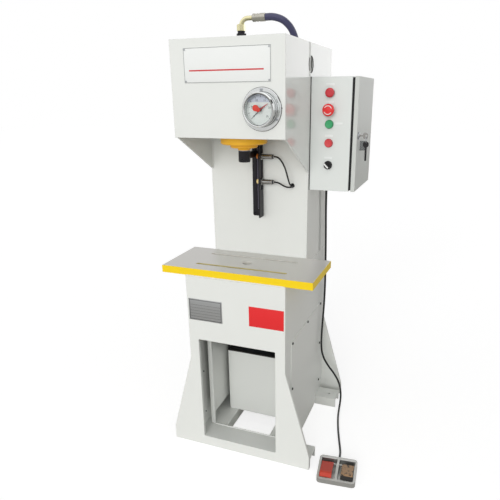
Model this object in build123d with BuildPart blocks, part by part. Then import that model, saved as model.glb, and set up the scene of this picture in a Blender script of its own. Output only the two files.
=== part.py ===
from build123d import *
import math
import os

# C-frame hydraulic press with control box and dual foot switch.
# Millimetres, +Z up, the operator stands on the -Y side.
# The origin lies on the floor, in the middle of the four foot bolt holes.

# Frame
frame_width = 400
press_height = 1576
press_depth = 580
throat_depth = 265
head_height = 307
gusset_height = 138
heavy_plate = 12
side_plate = 6
back_plate = 8
head_floor = 20
edge_break = 1.0

# Base and feet
table_height = 794
foot_width = 600
foot_toe_height = 60
flare_start = 414
rail_width = 80
rail_height = 44
rail_wall = 6
side_rail_width = 96
foot_hole_diameter = 14
sleeve_diameter = 26
foot_hole_inset = 39
base_recess = 4

# Front opening, side windows and their covers
opening_width = 320
opening_top = 500
stiffener_x = 160
stiffener_plate = 8
stiffener_foot = 100
stiffener_post = 12
window_front = -115
window_back = 165
window_top = 440
cover_front = -198
cover_back = 239
cover_bottom = 22
cover_top = 512
cover_sheet = 2.5
cover_screw_inset = 12
cover_hole_diameter = 6.6

# Table
table_width = 600
table_depth = 260
table_thickness = 28
table_slot_length = 370
table_slot_width = 14
table_slot_pitch = 132
table_bore = 36

# Cylinder and ram
stroke = 200
ram_reach = 133
rod_diameter = 40
collar_diameter = 42
collar_height = 40
collar_gap = 2
tool_bore = 20
tool_bore_depth = 22
rod_spigot_diameter = 24
rod_spigot_depth = 16
running_gap = 0.05
barrel_outer = 120
barrel_bore = 90
barrel_headroom = 30
piston_height = 44
cap_height = 16
flange_diameter = 166
flange_thickness = 27
flange_step_diameter = 98
flange_step_height = 13
gland_diameter = 45
gland_height = 9
flange_bolt_circle = 134
flange_bolt = 9

# Guide bracket, arm and limit sensors
bracket_width = 44
bracket_depth = 43
bracket_sheet = 5
bracket_gap = 7
bracket_foot = 27
guide_slot_width = 9
guide_slot_under = 15
guide_slot_over = 21
guide_pin_diameter = 8
arm_height = 22
arm_rise = 6
sensor_slot_width = 18.6
sensor_slot_under = 32
sensor_slot_over = 39
sensor_diameter = 18
sensor_length = 62
sensor_face_length = 8.5
sensor_reach = 4.5
sensor_tail_length = 7
sensor_setback = 22
upper_sensor_rise = 3
sensor_pitch = 95
sensor_nut_flats = 24
sensor_nut_thickness = 4
sensor_cable_diameter = 6
grommet_x = 140
grommet_drop = 13
grommet_diameter = 17
grommet_hole_diameter = 13

# Hydraulic fittings on the head
port_base = 30
port_base_height = 12
port_hex = 30
port_hex_height = 9
port_neck = 22
port_neck_height = 3.5
port_collar = 25
port_collar_height = 4.5
elbow_tube = 14.5
elbow_radius = 24
union_hex = 25
union_height = 20
ferrule_diameter = 25
ferrule_start = 41
ferrule_end = 87
hose_diameter = 22
return_hose_diameter = 16
hose_hole_inset = 18
hose_hole_width = 27
hose_hole_length = 38
return_hole_diameter = 32

# Pressure gauge with limit contacts
gauge_x = 122
gauge_height = 1361
gauge_flange = 132
gauge_flange_thickness = 4
gauge_case = 104
gauge_projection = 35
gauge_back_depth = 40
gauge_glass_diameter = 96
gauge_lip = 2
gauge_bolt_circle = 118

# Control box
box_height = 400
box_depth = 300
box_width = 150
box_bottom = 1064
box_front = 9
box_sheet = 2
door_thickness = 15
door_gap = 9
neck_inset = 8
keeper_depth = 6.5
hinge_barrel = 9
hinge_pin = 5
hinge_length = 40
hinge_inset = 50

# Push buttons and lamps on the control box
device_x = 272
lamp_drop = 53
estop_drop = 111
green_drop = 160
red_drop = 226
selector_drop = 305
bezel_diameter = 31
bezel_height = 7
bezel_floor = 2.5
button_diameter = 22
button_head = 27
button_travel = 4
lamp_diameter = 33
estop_diameter = 43
selector_diameter = 28

# Hydraulic unit inside the base
tank_width = 284
tank_height = 300
tank_length = 290
tank_front = -51
tank_sheet = 3
motor_diameter = 140
motor_length = 210

# Foot switch
foot_switch_x = 411
foot_switch_y = -254.5
foot_switch_turn = 6
foot_switch_width = 148
foot_switch_length = 117
foot_switch_front = 20
foot_switch_rear = 38
well_width = 60
well_pitch = 70
well_front_rim = 8
well_back_rim = 15
pedal_width = 46
pedal_length = 83.5
pedal_pitch = 80
foot_cable_diameter = 9

# Places that follow from the sizes above
half_width = frame_width / 2
half_foot = foot_width / 2
foot_pitch = 434
base_front = -foot_pitch / 2 - rail_width / 2 - heavy_plate
head_front = base_front - base_recess
column_front = head_front + throat_depth
frame_back = head_front + press_depth
back_inner = frame_back - back_plate
head_bottom = press_height - head_height
gusset_bottom = head_bottom - gusset_height
flange_bottom = head_bottom - flange_thickness
step_bottom = flange_bottom - flange_step_height
gland_bottom = step_bottom - gland_height
collar_top = gland_bottom - collar_gap
collar_bottom = collar_top - collar_height
arm_bottom = collar_bottom + arm_rise
pin_height = arm_bottom + arm_height / 2
guide_slot_top = pin_height + guide_slot_over
guide_slot_bottom = pin_height - stroke - guide_slot_under
bracket_top = head_bottom - bracket_gap
bracket_bottom = guide_slot_bottom - bracket_foot
upper_sensor_height = arm_bottom + upper_sensor_rise
lower_sensor_height = upper_sensor_height - sensor_pitch
sensor_slot_top = upper_sensor_height + sensor_slot_over
sensor_slot_bottom = lower_sensor_height - sensor_slot_under
grommet_height = lower_sensor_height - grommet_drop
ram_y = head_front + ram_reach
table_bottom = table_height - table_thickness
inner_half = half_width - side_plate
front_inner = head_front + heavy_plate
base_inner = base_front + heavy_plate
seam_y = column_front - heavy_plate
seat_gap = 0.3

os.makedirs("parts", exist_ok=True)


def radii_for(points):
    # Radius of each corner of a cord's route: 0.45 of the shorter run over the tangent of half the turn.
    radii = []
    for before, here, after in zip(points, points[1:], points[2:]):
        first = Vector(*here) - Vector(*before)
        second = Vector(*after) - Vector(*here)
        half_turn = math.radians(first.get_angle(second)) / 2
        radii.append(0.45 * min(first.length, second.length) / math.tan(half_turn))
    return radii


# Base rails: two channels across the base, flanges down, joined by two angles that carry the tank.
# A sleeve inside each channel end takes the floor bolt.
side_rail_length = foot_pitch - rail_width
with BuildPart() as base_rails:
    for rail_y in (-foot_pitch / 2, foot_pitch / 2):
        with BuildSketch(Plane.YZ.offset(-half_foot)):
            with Locations((rail_y, rail_height / 2)):
                Rectangle(rail_width, rail_height)
            with Locations((rail_y, (rail_height - rail_wall) / 2)):
                Rectangle(rail_width - 2 * rail_wall, rail_height - rail_wall, mode=Mode.SUBTRACT)
        extrude(amount=foot_width)
    for side in (-1, 1):
        with BuildSketch(Plane.XZ.offset(-side_rail_length / 2)):
            with Locations((side * (inner_half - side_rail_width / 2), rail_height - rail_wall / 2)):
                Rectangle(side_rail_width, rail_wall)
            with Locations((side * (inner_half - side_rail_width + rail_wall / 2), rail_height / 2)):
                Rectangle(rail_wall, rail_height)
        extrude(amount=side_rail_length)
    with BuildSketch():
        with GridLocations(foot_width - 2 * foot_hole_inset, foot_pitch, 2, 2):
            Circle(sleeve_diameter / 2)
    extrude(amount=rail_height)
    with Locations(Plane.XY.offset(rail_height)):
        with GridLocations(foot_width - 2 * foot_hole_inset, foot_pitch, 2, 2):
            Hole(foot_hole_diameter / 2, depth=rail_height)

base_rails.part.label = "base_rails"
export_step(base_rails.part, "parts/base_rails.step")

# Base front plate: flared feet and a large service opening
with BuildPart() as base_front_plate:
    with BuildSketch(Plane.XZ.offset(-base_inner)) as front_outline:
        with BuildLine():
            Polyline(
                (-half_foot, 0),
                (-half_foot, foot_toe_height),
                (-half_width, flare_start),
                (-half_width, table_bottom),
                (half_width, table_bottom),
                (half_width, flare_start),
                (half_foot, foot_toe_height),
                (half_foot, 0),
                close=True,
            )
        make_face()
        with Locations((0, (rail_height + opening_top) / 2)):
            RectangleRounded(opening_width, opening_top - rail_height, 3, mode=Mode.SUBTRACT)
    extrude(amount=heavy_plate)
    outer_rim = base_front_plate.edges().filter_by(GeomType.LINE).group_by(Axis.Y)[0]
    chamfer(outer_rim.filter_by(Axis.Z), length=edge_break)

base_front_plate.part.label = "base_front_plate"
export_step(base_front_plate.part, "parts/base_front_plate.step")


# Screw places of the side covers, as (y, z): three rows of two and one more in the middle of the top
cover_rows = (
    cover_top - cover_screw_inset + 4,
    (cover_top + cover_bottom) / 2 + 36,
    cover_bottom + 82,
)
cover_columns = (cover_front + cover_screw_inset, cover_back - cover_screw_inset)
cover_screws = [(y, z) for z in cover_rows for y in cover_columns]
cover_screws.append(((cover_front + cover_back) / 2, cover_rows[0]))

# Base sides: notched over the foot rails, each with the window under its cover
rail_inner = foot_pitch / 2 - rail_width / 2
rail_outer = foot_pitch / 2 + rail_width / 2
with BuildPart() as base_sides:
    with BuildSketch(Plane.YZ.offset(-half_width)):
        with BuildLine():
            Polyline(
                (base_inner, rail_height),
                (base_inner, table_bottom),
                (back_inner, table_bottom),
                (back_inner, 0),
                (rail_outer, 0),
                (rail_outer, rail_height),
                (rail_inner, rail_height),
                (rail_inner, 0),
                (-rail_inner, 0),
                (-rail_inner, rail_height),
                close=True,
            )
        make_face()
        with Locations(((window_front + window_back) / 2, (rail_height + window_top) / 2)):
            Rectangle(window_back - window_front, window_top - rail_height, mode=Mode.SUBTRACT)
        with Locations(*cover_screws):
            Circle(2.5, mode=Mode.SUBTRACT)
    extrude(amount=side_plate)
    mirror(about=Plane.YZ)

base_sides.part.label = "base_sides"
export_step(base_sides.part, "parts/base_sides.step")

# Side covers: flat sheets screwed over the windows from outside
with BuildPart() as side_covers:
    for side in (-1, 1):
        with BuildSketch(Plane.YZ.offset(side * (half_width + cover_sheet / 2))):
            with Locations(((cover_front + cover_back) / 2, (cover_bottom + cover_top) / 2)):
                RectangleRounded(cover_back - cover_front, cover_top - cover_bottom, 3)
            with GridLocations(foot_pitch, 0, 2, 1):
                Rectangle(rail_width + 1, 2 * rail_height + 1, mode=Mode.SUBTRACT)
            with Locations(*cover_screws):
                Circle(cover_hole_diameter / 2, mode=Mode.SUBTRACT)
        extrude(amount=cover_sheet / 2, both=True)

side_covers.part.label = "side_covers"
export_step(side_covers.part, "parts/side_covers.step")

# Inner stiffeners: upright webs beside the front opening, from the rails up to the table.
# Behind its front post each web is cut away over the foot.
with BuildPart() as inner_stiffeners:
    with BuildSketch(Plane.YZ.offset(-stiffener_x - stiffener_plate / 2)):
        with BuildLine():
            Polyline(
                (-rail_inner, rail_height),
                (-rail_inner, table_bottom),
                (seam_y, table_bottom),
                (seam_y, stiffener_foot),
                (stiffener_post - rail_inner, stiffener_foot),
                (stiffener_post - rail_inner, rail_height),
                close=True,
            )
        make_face()
    extrude(amount=stiffener_plate)
    mirror(about=Plane.YZ)

inner_stiffeners.part.label = "inner_stiffeners"
export_step(inner_stiffeners.part, "parts/inner_stiffeners.step")

# Back plate: one sheet from floor to top, flared at the floor like the front plate
with BuildPart() as column_back_plate:
    with BuildSketch(Plane.XZ.offset(-frame_back)) as back_outline:
        with BuildLine():
            Polyline(
                (-half_foot, 0),
                (-half_foot, foot_toe_height),
                (-half_width, flare_start),
                (-half_width, press_height),
                (half_width, press_height),
                (half_width, flare_start),
                (half_foot, foot_toe_height),
                (half_foot, 0),
                close=True,
            )
        make_face()
    extrude(amount=back_plate)

column_back_plate.part.label = "column_back_plate"
export_step(column_back_plate.part, "parts/column_back_plate.step")

# Column sides: the right one has the cable hole beside the head seam
cable_hole_y = seam_y + 28
cable_hole_z = press_height - 71
with BuildPart() as column_sides:
    with BuildSketch(Plane.YZ.offset(-half_width)) as side_outline:
        with BuildLine():
            Polyline(
                (column_front, table_bottom),
                (column_front, head_bottom),
                (seam_y, head_bottom),
                (seam_y, press_height),
                (back_inner, press_height),
                (back_inner, table_bottom),
                close=True,
            )
        make_face()
    extrude(amount=side_plate)
    mirror(about=Plane.YZ)
    with BuildSketch(Plane.YZ.offset(half_width)):
        with Locations((cable_hole_y, cable_hole_z)):
            Circle(27)
    extrude(amount=-side_plate, mode=Mode.SUBTRACT)

column_sides.part.label = "column_sides"
export_step(column_sides.part, "parts/column_sides.step")

# Column front plate: grommet hole, guide bracket holes and the hose passage behind the head
passage_width = 130
passage_height = 150
passage_x = 120
passage_z = head_bottom + 155
plate_foot = 560
with BuildPart() as column_front_plate:
    with BuildSketch(Plane.XZ.offset(-column_front - heavy_plate)):
        with Locations((0, (plate_foot + press_height - heavy_plate) / 2)):
            Rectangle(2 * inner_half, press_height - heavy_plate - plate_foot)
        with Locations((passage_x, passage_z)):
            RectangleRounded(passage_width, passage_height, 12, mode=Mode.SUBTRACT)
        with Locations((0, head_bottom + 46)):
            Circle(return_hole_diameter / 2, mode=Mode.SUBTRACT)
        with Locations((grommet_x, grommet_height)):
            Circle(grommet_hole_diameter / 2, mode=Mode.SUBTRACT)
        with Locations((-14, bracket_top - 12), (14, bracket_top - 12), (-14, bracket_bottom + 12)):
            Circle(2.5, mode=Mode.SUBTRACT)
    extrude(amount=heavy_plate)

column_front_plate.part.label = "column_front_plate"
export_step(column_front_plate.part, "parts/column_front_plate.step")

# Head front plate with the round cut-out for the gauge case
with BuildPart() as head_front_plate:
    with BuildSketch(Plane.XZ.offset(-front_inner)):
        with Locations((0, (head_bottom + press_height) / 2)):
            Rectangle(frame_width, head_height)
        with Locations((gauge_x, gauge_height)):
            Circle(gauge_case / 2, mode=Mode.SUBTRACT)
            with PolarLocations(gauge_bolt_circle / 2, 3, start_angle=90):
                Circle(2.5, mode=Mode.SUBTRACT)
    extrude(amount=heavy_plate)
    front_rim = head_front_plate.faces().sort_by(Axis.Y)[0].outer_wire().edges()
    chamfer(front_rim, length=edge_break)

head_front_plate.part.label = "head_front_plate"
export_step(head_front_plate.part, "parts/head_front_plate.step")

# Head sides: each runs down into the triangular gusset that braces the head on the column
with BuildPart() as head_sides:
    with BuildSketch(Plane.YZ.offset(-half_width)):
        with BuildLine():
            Polyline(
                (front_inner, press_height),
                (seam_y, press_height),
                (seam_y, head_bottom),
                (column_front, head_bottom),
                (column_front, gusset_bottom),
                (front_inner, head_bottom),
                close=True,
            )
        make_face()
    extrude(amount=side_plate)
    mirror(about=Plane.YZ)

head_sides.part.label = "head_sides"
export_step(head_sides.part, "parts/head_sides.step")

# Top plate over head and column, with the port hole and the hose hole
hose_hole_x = inner_half - hose_hole_inset
hose_hole_y = -97
with BuildPart() as top_plate:
    with BuildSketch(Plane.XY.offset(press_height - heavy_plate)):
        with Locations((0, (front_inner + back_inner) / 2)):
            Rectangle(2 * inner_half, back_inner - front_inner)
        with Locations((0, ram_y)):
            Circle(28, mode=Mode.SUBTRACT)
        with Locations(Location((hose_hole_x, hose_hole_y), 90)):
            SlotOverall(hose_hole_length, hose_hole_width, mode=Mode.SUBTRACT)
    extrude(amount=heavy_plate)

top_plate.part.label = "top_plate"
export_step(top_plate.part, "parts/top_plate.step")

# Head floor: the thick plate that the cylinder pulls against
with BuildPart() as head_floor_plate:
    with BuildSketch(Plane.XY.offset(head_bottom)):
        with Locations((0, (front_inner + column_front) / 2)):
            Rectangle(2 * inner_half, column_front - front_inner)
        with Locations((0, ram_y)):
            Circle(barrel_outer / 2, mode=Mode.SUBTRACT)
            with PolarLocations(flange_bolt_circle / 2, 6):
                Circle(flange_bolt / 2 - 0.7, mode=Mode.SUBTRACT)
    extrude(amount=head_floor)

head_floor_plate.part.label = "head_floor_plate"
export_step(head_floor_plate.part, "parts/head_floor_plate.step")

# Work table: two clamping slots and a knock-out bore under the ram
table_front = column_front - table_depth
with BuildPart() as work_table:
    with BuildSketch(Plane.XY.offset(table_bottom)):
        with Locations((0, (table_front + column_front) / 2)):
            Rectangle(table_width, table_depth)
        with Locations((0, ram_y)):
            with GridLocations(0, table_slot_pitch, 1, 2):
                SlotOverall(table_slot_length, table_slot_width, mode=Mode.SUBTRACT)
            Circle(table_bore / 2, mode=Mode.SUBTRACT)
    extrude(amount=table_thickness)
    top_face = work_table.faces().sort_by(Axis.Z)[-1]
    chamfer(top_face.outer_wire().edges(), length=edge_break)
    bore_rim = work_table.edges().filter_by(GeomType.CIRCLE).filter_by(
        lambda rim: abs(rim.radius - table_bore / 2) < 0.01
    )
    chamfer(bore_rim.sort_by(Axis.Z)[-1], length=2)

work_table.part.label = "work_table"
export_step(work_table.part, "parts/work_table.step")

# Cylinder flange: stepped and turned, bolted under the head floor, with the rod gland at its nose
with BuildPart() as cylinder_flange:
    with BuildSketch(Plane.XZ.offset(-ram_y)):
        with BuildLine():
            Polyline(
                (rod_diameter / 2 + running_gap, gland_bottom),
                (gland_diameter / 2 - 2, gland_bottom),
                (gland_diameter / 2, gland_bottom + 2),
                (gland_diameter / 2, step_bottom),
                (flange_step_diameter / 2 - 3, step_bottom),
                (flange_step_diameter / 2, step_bottom + 3),
                (flange_step_diameter / 2, flange_bottom),
                (flange_diameter / 2 - 4, flange_bottom),
                (flange_diameter / 2, flange_bottom + 4),
                (flange_diameter / 2, head_bottom),
                (barrel_bore / 2, head_bottom),
                (barrel_bore / 2, head_bottom + 12),
                (rod_diameter / 2 + running_gap, head_bottom + 12),
                close=True,
            )
        make_face()
    revolve(axis=Axis((0, ram_y, 0), (0, 0, 1)))
    with Locations(Plane(origin=(0, ram_y, flange_bottom), z_dir=(0, 0, -1))):
        with PolarLocations(flange_bolt_circle / 2, 6):
            CounterBoreHole(flange_bolt / 2, flange_bolt * 0.85, 8.5, depth=flange_thickness)

cylinder_flange.part.label = "cylinder_flange"
export_step(cylinder_flange.part, "parts/cylinder_flange.step")

# Cylinder barrel: the cap is welded in and rises through the top plate as the pressure port
barrel_top = press_height - barrel_headroom
return_port_z = head_bottom + 46
with BuildPart() as cylinder_barrel:
    with BuildSketch(Plane.XZ.offset(-ram_y)):
        with BuildLine():
            Polyline(
                (barrel_bore / 2 + running_gap, head_bottom),
                (barrel_outer / 2 - seat_gap, head_bottom),
                (barrel_outer / 2 - seat_gap, barrel_top + cap_height - 2),
                (barrel_outer / 2 - 2, barrel_top + cap_height),
                (25, barrel_top + cap_height),
                (25, press_height),
                (5, press_height),
                (5, barrel_top),
                (barrel_bore / 2 + running_gap, barrel_top),
                close=True,
            )
        make_face()
    revolve(axis=Axis((0, ram_y, 0), (0, 0, 1)))
    with BuildSketch(Plane.XZ.offset(-ram_y - 55)):
        with Locations((0, return_port_z)):
            RegularPolygon(12, 6)
    extrude(amount=-15)
    with BuildSketch(Plane.XZ.offset(-ram_y - 70)):
        with Locations((0, return_port_z)):
            Circle(4)
    extrude(amount=30, mode=Mode.SUBTRACT)

cylinder_barrel.part.label = "cylinder_barrel"
export_step(cylinder_barrel.part, "parts/cylinder_barrel.step")

# Piston rod: piston, chromed rod and the spigot that seats in the collar
piston_top = barrel_top - 6
with BuildPart() as piston_rod:
    with BuildSketch(Plane.XZ.offset(-ram_y)):
        with BuildLine():
            Polyline(
                (0, collar_top - rod_spigot_depth),
                (rod_spigot_diameter / 2, collar_top - rod_spigot_depth),
                (rod_spigot_diameter / 2, collar_top),
                (rod_diameter / 2, collar_top),
                (rod_diameter / 2, piston_top - piston_height),
                (barrel_bore / 2, piston_top - piston_height),
                (barrel_bore / 2, piston_top - 28),
                (barrel_bore / 2 - 4, piston_top - 28),
                (barrel_bore / 2 - 4, piston_top - 16),
                (barrel_bore / 2, piston_top - 16),
                (barrel_bore / 2, piston_top),
                (0, piston_top),
                close=True,
            )
        make_face()
    revolve(axis=Axis((0, ram_y, 0), (0, 0, 1)))

piston_rod.part.label = "piston_rod"
export_step(piston_rod.part, "parts/piston_rod.step")

# Ram collar: tool holder with the arm that reaches back to the guide bracket.
# Its pin runs in the slot of the bracket and its flank passes the sensor faces.
arm_width = 17
arm_left = -20
bracket_face = column_front - bracket_sheet
arm_back = bracket_face - 1
sensor_y = column_front - sensor_setback
foot_front = sensor_y + sensor_diameter / 2 + 2
with BuildPart() as ram_collar:
    with BuildSketch(Plane.XY.offset(collar_bottom)):
        with Locations((0, ram_y)):
            Circle(collar_diameter / 2)
    extrude(amount=collar_height)
    collar_rims = ram_collar.edges().filter_by(GeomType.CIRCLE)
    fillet(collar_rims.sort_by(Axis.Z)[0], radius=3)
    with BuildSketch(Plane.XY.offset(arm_bottom)):
        with BuildLine():
            Polyline(
                (arm_left, ram_y),
                (arm_left, arm_back),
                (4, arm_back),
                (4, foot_front),
                (arm_left + arm_width, foot_front),
                (arm_left + arm_width, ram_y + 46),
                (17, ram_y + 14),
                (17, ram_y),
                close=True,
            )
        make_face()
    extrude(amount=arm_height)
    with Locations(Plane(origin=(0, ram_y, collar_bottom), z_dir=(0, 0, -1))):
        Hole(tool_bore / 2, depth=tool_bore_depth)
    with Locations(Plane(origin=(0, ram_y, collar_top))):
        Hole(rod_spigot_diameter / 2 + running_gap, depth=rod_spigot_depth)
    with Locations(Plane(origin=(0, ram_y - collar_diameter / 2, collar_bottom + 11), z_dir=(0, -1, 0))):
        Hole(4, depth=collar_diameter / 2)
    with BuildSketch(Plane.XZ.offset(-arm_back)):
        with Locations((0, pin_height)):
            Circle(guide_pin_diameter / 2)
    extrude(amount=-(column_front - 1 - arm_back))

ram_collar.part.label = "ram_collar"
export_step(ram_collar.part, "parts/ram_collar.step")

# Guide bracket: slotted angle on the column, one leg guides the arm, the other carries the sensors
bracket_side = bracket_width / 2
with BuildPart() as guide_bracket:
    with BuildSketch(Plane.XY.offset(bracket_bottom)):
        with BuildLine():
            Polyline(
                (-bracket_side, column_front),
                (bracket_side, column_front),
                (bracket_side, column_front - bracket_depth),
                (bracket_side - bracket_sheet, column_front - bracket_depth),
                (bracket_side - bracket_sheet, bracket_face),
                (-bracket_side, bracket_face),
                close=True,
            )
        make_face()
    extrude(amount=bracket_top - bracket_bottom)
    bend_edges = guide_bracket.edges().filter_by(Axis.Z)
    inner_bend = bend_edges.sort_by_distance((bracket_side - bracket_sheet, bracket_face, bracket_top))[0]
    fillet(inner_bend, radius=4)
    outer_bend = guide_bracket.edges().filter_by(Axis.Z).sort_by_distance(
        (bracket_side, column_front, bracket_top)
    )[0]
    fillet(outer_bend, radius=6)
    low_corner = guide_bracket.edges().filter_by(Axis.Y).sort_by_distance(
        (-bracket_side, column_front, bracket_bottom)
    )[0]
    fillet(low_corner, radius=6)
    with BuildSketch(Plane.XZ.offset(-column_front)):
        with Locations(Location((0, (guide_slot_bottom + guide_slot_top) / 2), 90)):
            SlotOverall(guide_slot_top - guide_slot_bottom, guide_slot_width)
        with Locations((-14, bracket_top - 12), (14, bracket_top - 12), (-14, bracket_bottom + 12)):
            Circle(3)
    extrude(amount=bracket_sheet, mode=Mode.SUBTRACT)
    with BuildSketch(Plane.YZ.offset(bracket_side)):
        with Locations(Location((sensor_y, (sensor_slot_bottom + sensor_slot_top) / 2), 90)):
            SlotOverall(sensor_slot_top - sensor_slot_bottom, sensor_slot_width)
    extrude(amount=-bracket_sheet, mode=Mode.SUBTRACT)

guide_bracket.part.label = "guide_bracket"
export_step(guide_bracket.part, "parts/guide_bracket.step")


def proximity_sensor(height):
    # Threaded proximity sensor lying along X: sensing face, barrel and moulded cable end.
    thread_start = sensor_reach + sensor_face_length
    thread_end = sensor_reach + sensor_length
    with BuildPart() as sensor:
        with BuildSketch(Plane.XY.offset(height)):
            with BuildLine():
                Polyline(
                    (sensor_reach, sensor_y),
                    (sensor_reach, sensor_y + sensor_diameter / 2 - 1.2),
                    (sensor_reach + 0.8, sensor_y + sensor_diameter / 2 - 0.4),
                    (thread_start, sensor_y + sensor_diameter / 2 - 0.4),
                    (thread_start, sensor_y + sensor_diameter / 2),
                    (thread_end - 0.8, sensor_y + sensor_diameter / 2),
                    (thread_end, sensor_y + sensor_diameter / 2 - 0.8),
                    (thread_end, sensor_y + sensor_diameter / 2 - 2),
                    (thread_end + sensor_tail_length, sensor_y + sensor_cable_diameter / 2 + 1.5),
                    (thread_end + sensor_tail_length, sensor_y),
                    close=True,
                )
            make_face()
        revolve(axis=Axis((0, sensor_y, height), (1, 0, 0)))
    return sensor.part


upper_sensor = proximity_sensor(upper_sensor_height)
upper_sensor.label = "upper_sensor"
export_step(upper_sensor, "parts/upper_sensor.step")

lower_sensor = proximity_sensor(lower_sensor_height)
lower_sensor.label = "lower_sensor"
export_step(lower_sensor, "parts/lower_sensor.step")

sensor_heights = ((sensor_y, upper_sensor_height), (sensor_y, lower_sensor_height))

# Sensor nuts: one on each side of the bracket leg
with BuildPart() as sensor_nuts:
    for nut_x in (bracket_side, bracket_side - bracket_sheet - sensor_nut_thickness):
        with BuildSketch(Plane.YZ.offset(nut_x)):
            with Locations(*sensor_heights):
                RegularPolygon(sensor_nut_flats / 2, 6, major_radius=False, rotation=15)
                Circle(sensor_diameter / 2 + running_gap, mode=Mode.SUBTRACT)
        extrude(amount=sensor_nut_thickness)

sensor_nuts.part.label = "sensor_nuts"
export_step(sensor_nuts.part, "parts/sensor_nuts.step")

# Grommet in the column front where both sensor cables go in
grommet_rim = 4
with BuildPart() as cable_grommet:
    with BuildSketch(Plane.XZ.offset(-column_front - 8)):
        with Locations((grommet_x, grommet_height)):
            Circle(grommet_hole_diameter / 2 - 0.1)
    extrude(amount=8)
    with BuildSketch(Plane.XZ.offset(-column_front)):
        with Locations((grommet_x, grommet_height)):
            Circle(grommet_diameter / 2)
    extrude(amount=grommet_rim)
    fillet(cable_grommet.edges().filter_by(GeomType.CIRCLE).sort_by(Axis.Y)[0], radius=1.4)

cable_grommet.part.label = "cable_grommet"
export_step(cable_grommet.part, "parts/cable_grommet.step")


def cord_tube(points, diameter):
    # Round tube along straight runs joined by tangent arcs.
    with BuildPart() as tube:
        with BuildLine() as route:
            FilletPolyline(*points, radius=radii_for(points))
        start = Vector(*points[1]) - Vector(*points[0])
        with BuildSketch(Plane(origin=points[0], z_dir=start)):
            Circle(diameter / 2)
        sweep(path=route.wires()[0])
    return tube.part


# Sensor cables: they sag in front of the column and meet at the grommet
grommet_face = column_front - grommet_rim
tail_x = sensor_reach + sensor_length + sensor_tail_length
upper_route = [
    (tail_x, sensor_y, upper_sensor_height),
    (tail_x + 11, sensor_y, upper_sensor_height),
    (99, sensor_y - 6, upper_sensor_height - 7),
    (113, sensor_y - 12, upper_sensor_height - 22),
    (124, sensor_y - 15, upper_sensor_height - 43),
    (131, sensor_y - 15, upper_sensor_height - 66),
    (135, sensor_y - 11, upper_sensor_height - 86),
    (137, sensor_y - 1, upper_sensor_height - 101),
    (137.4, grommet_face - 8, grommet_height + 2.8),
    (137.4, grommet_face, grommet_height + 2.8),
]
upper_sensor_cable = cord_tube(upper_route, sensor_cable_diameter)
upper_sensor_cable.label = "upper_sensor_cable"
export_step(upper_sensor_cable, "parts/upper_sensor_cable.step")

lower_route = [
    (tail_x, sensor_y, lower_sensor_height),
    (tail_x + 11, sensor_y, lower_sensor_height),
    (100, sensor_y - 8, lower_sensor_height - 3),
    (115, sensor_y - 14, lower_sensor_height - 9),
    (130, sensor_y - 14, lower_sensor_height - 14.5),
    (140, sensor_y - 4, grommet_height - 2.6),
    (142.6, grommet_face - 9, grommet_height - 2.6),
    (142.6, grommet_face, grommet_height - 2.6),
]
lower_sensor_cable = cord_tube(lower_route, sensor_cable_diameter)
lower_sensor_cable.label = "lower_sensor_cable"
export_step(lower_sensor_cable, "parts/lower_sensor_cable.step")

# Pressure port: black adaptor on the cylinder cap, with base, hexagon, neck and collar
hex_bottom = press_height + port_base_height
neck_bottom = hex_bottom + port_hex_height
collar_base = neck_bottom + port_neck_height
port_top = collar_base + port_collar_height
with BuildPart() as port_adaptor:
    with BuildSketch(Plane.XY.offset(press_height)):
        with Locations((0, ram_y)):
            Circle(port_base / 2)
    extrude(amount=port_base_height)
    with BuildSketch(Plane.XY.offset(hex_bottom)):
        with Locations((0, ram_y)):
            RegularPolygon(port_hex / 2, 6, major_radius=False)
    extrude(amount=port_hex_height)
    with BuildSketch(Plane.XY.offset(neck_bottom)):
        with Locations((0, ram_y)):
            Circle(port_neck / 2)
    extrude(amount=port_neck_height)
    with BuildSketch(Plane.XY.offset(collar_base)):
        with Locations((0, ram_y)):
            Circle(port_collar / 2)
    extrude(amount=port_collar_height)
    chamfer(port_adaptor.faces().sort_by(Axis.Z)[-1].edges(), length=1)

port_adaptor.part.label = "port_adaptor"
export_step(port_adaptor.part, "parts/port_adaptor.step")

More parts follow.
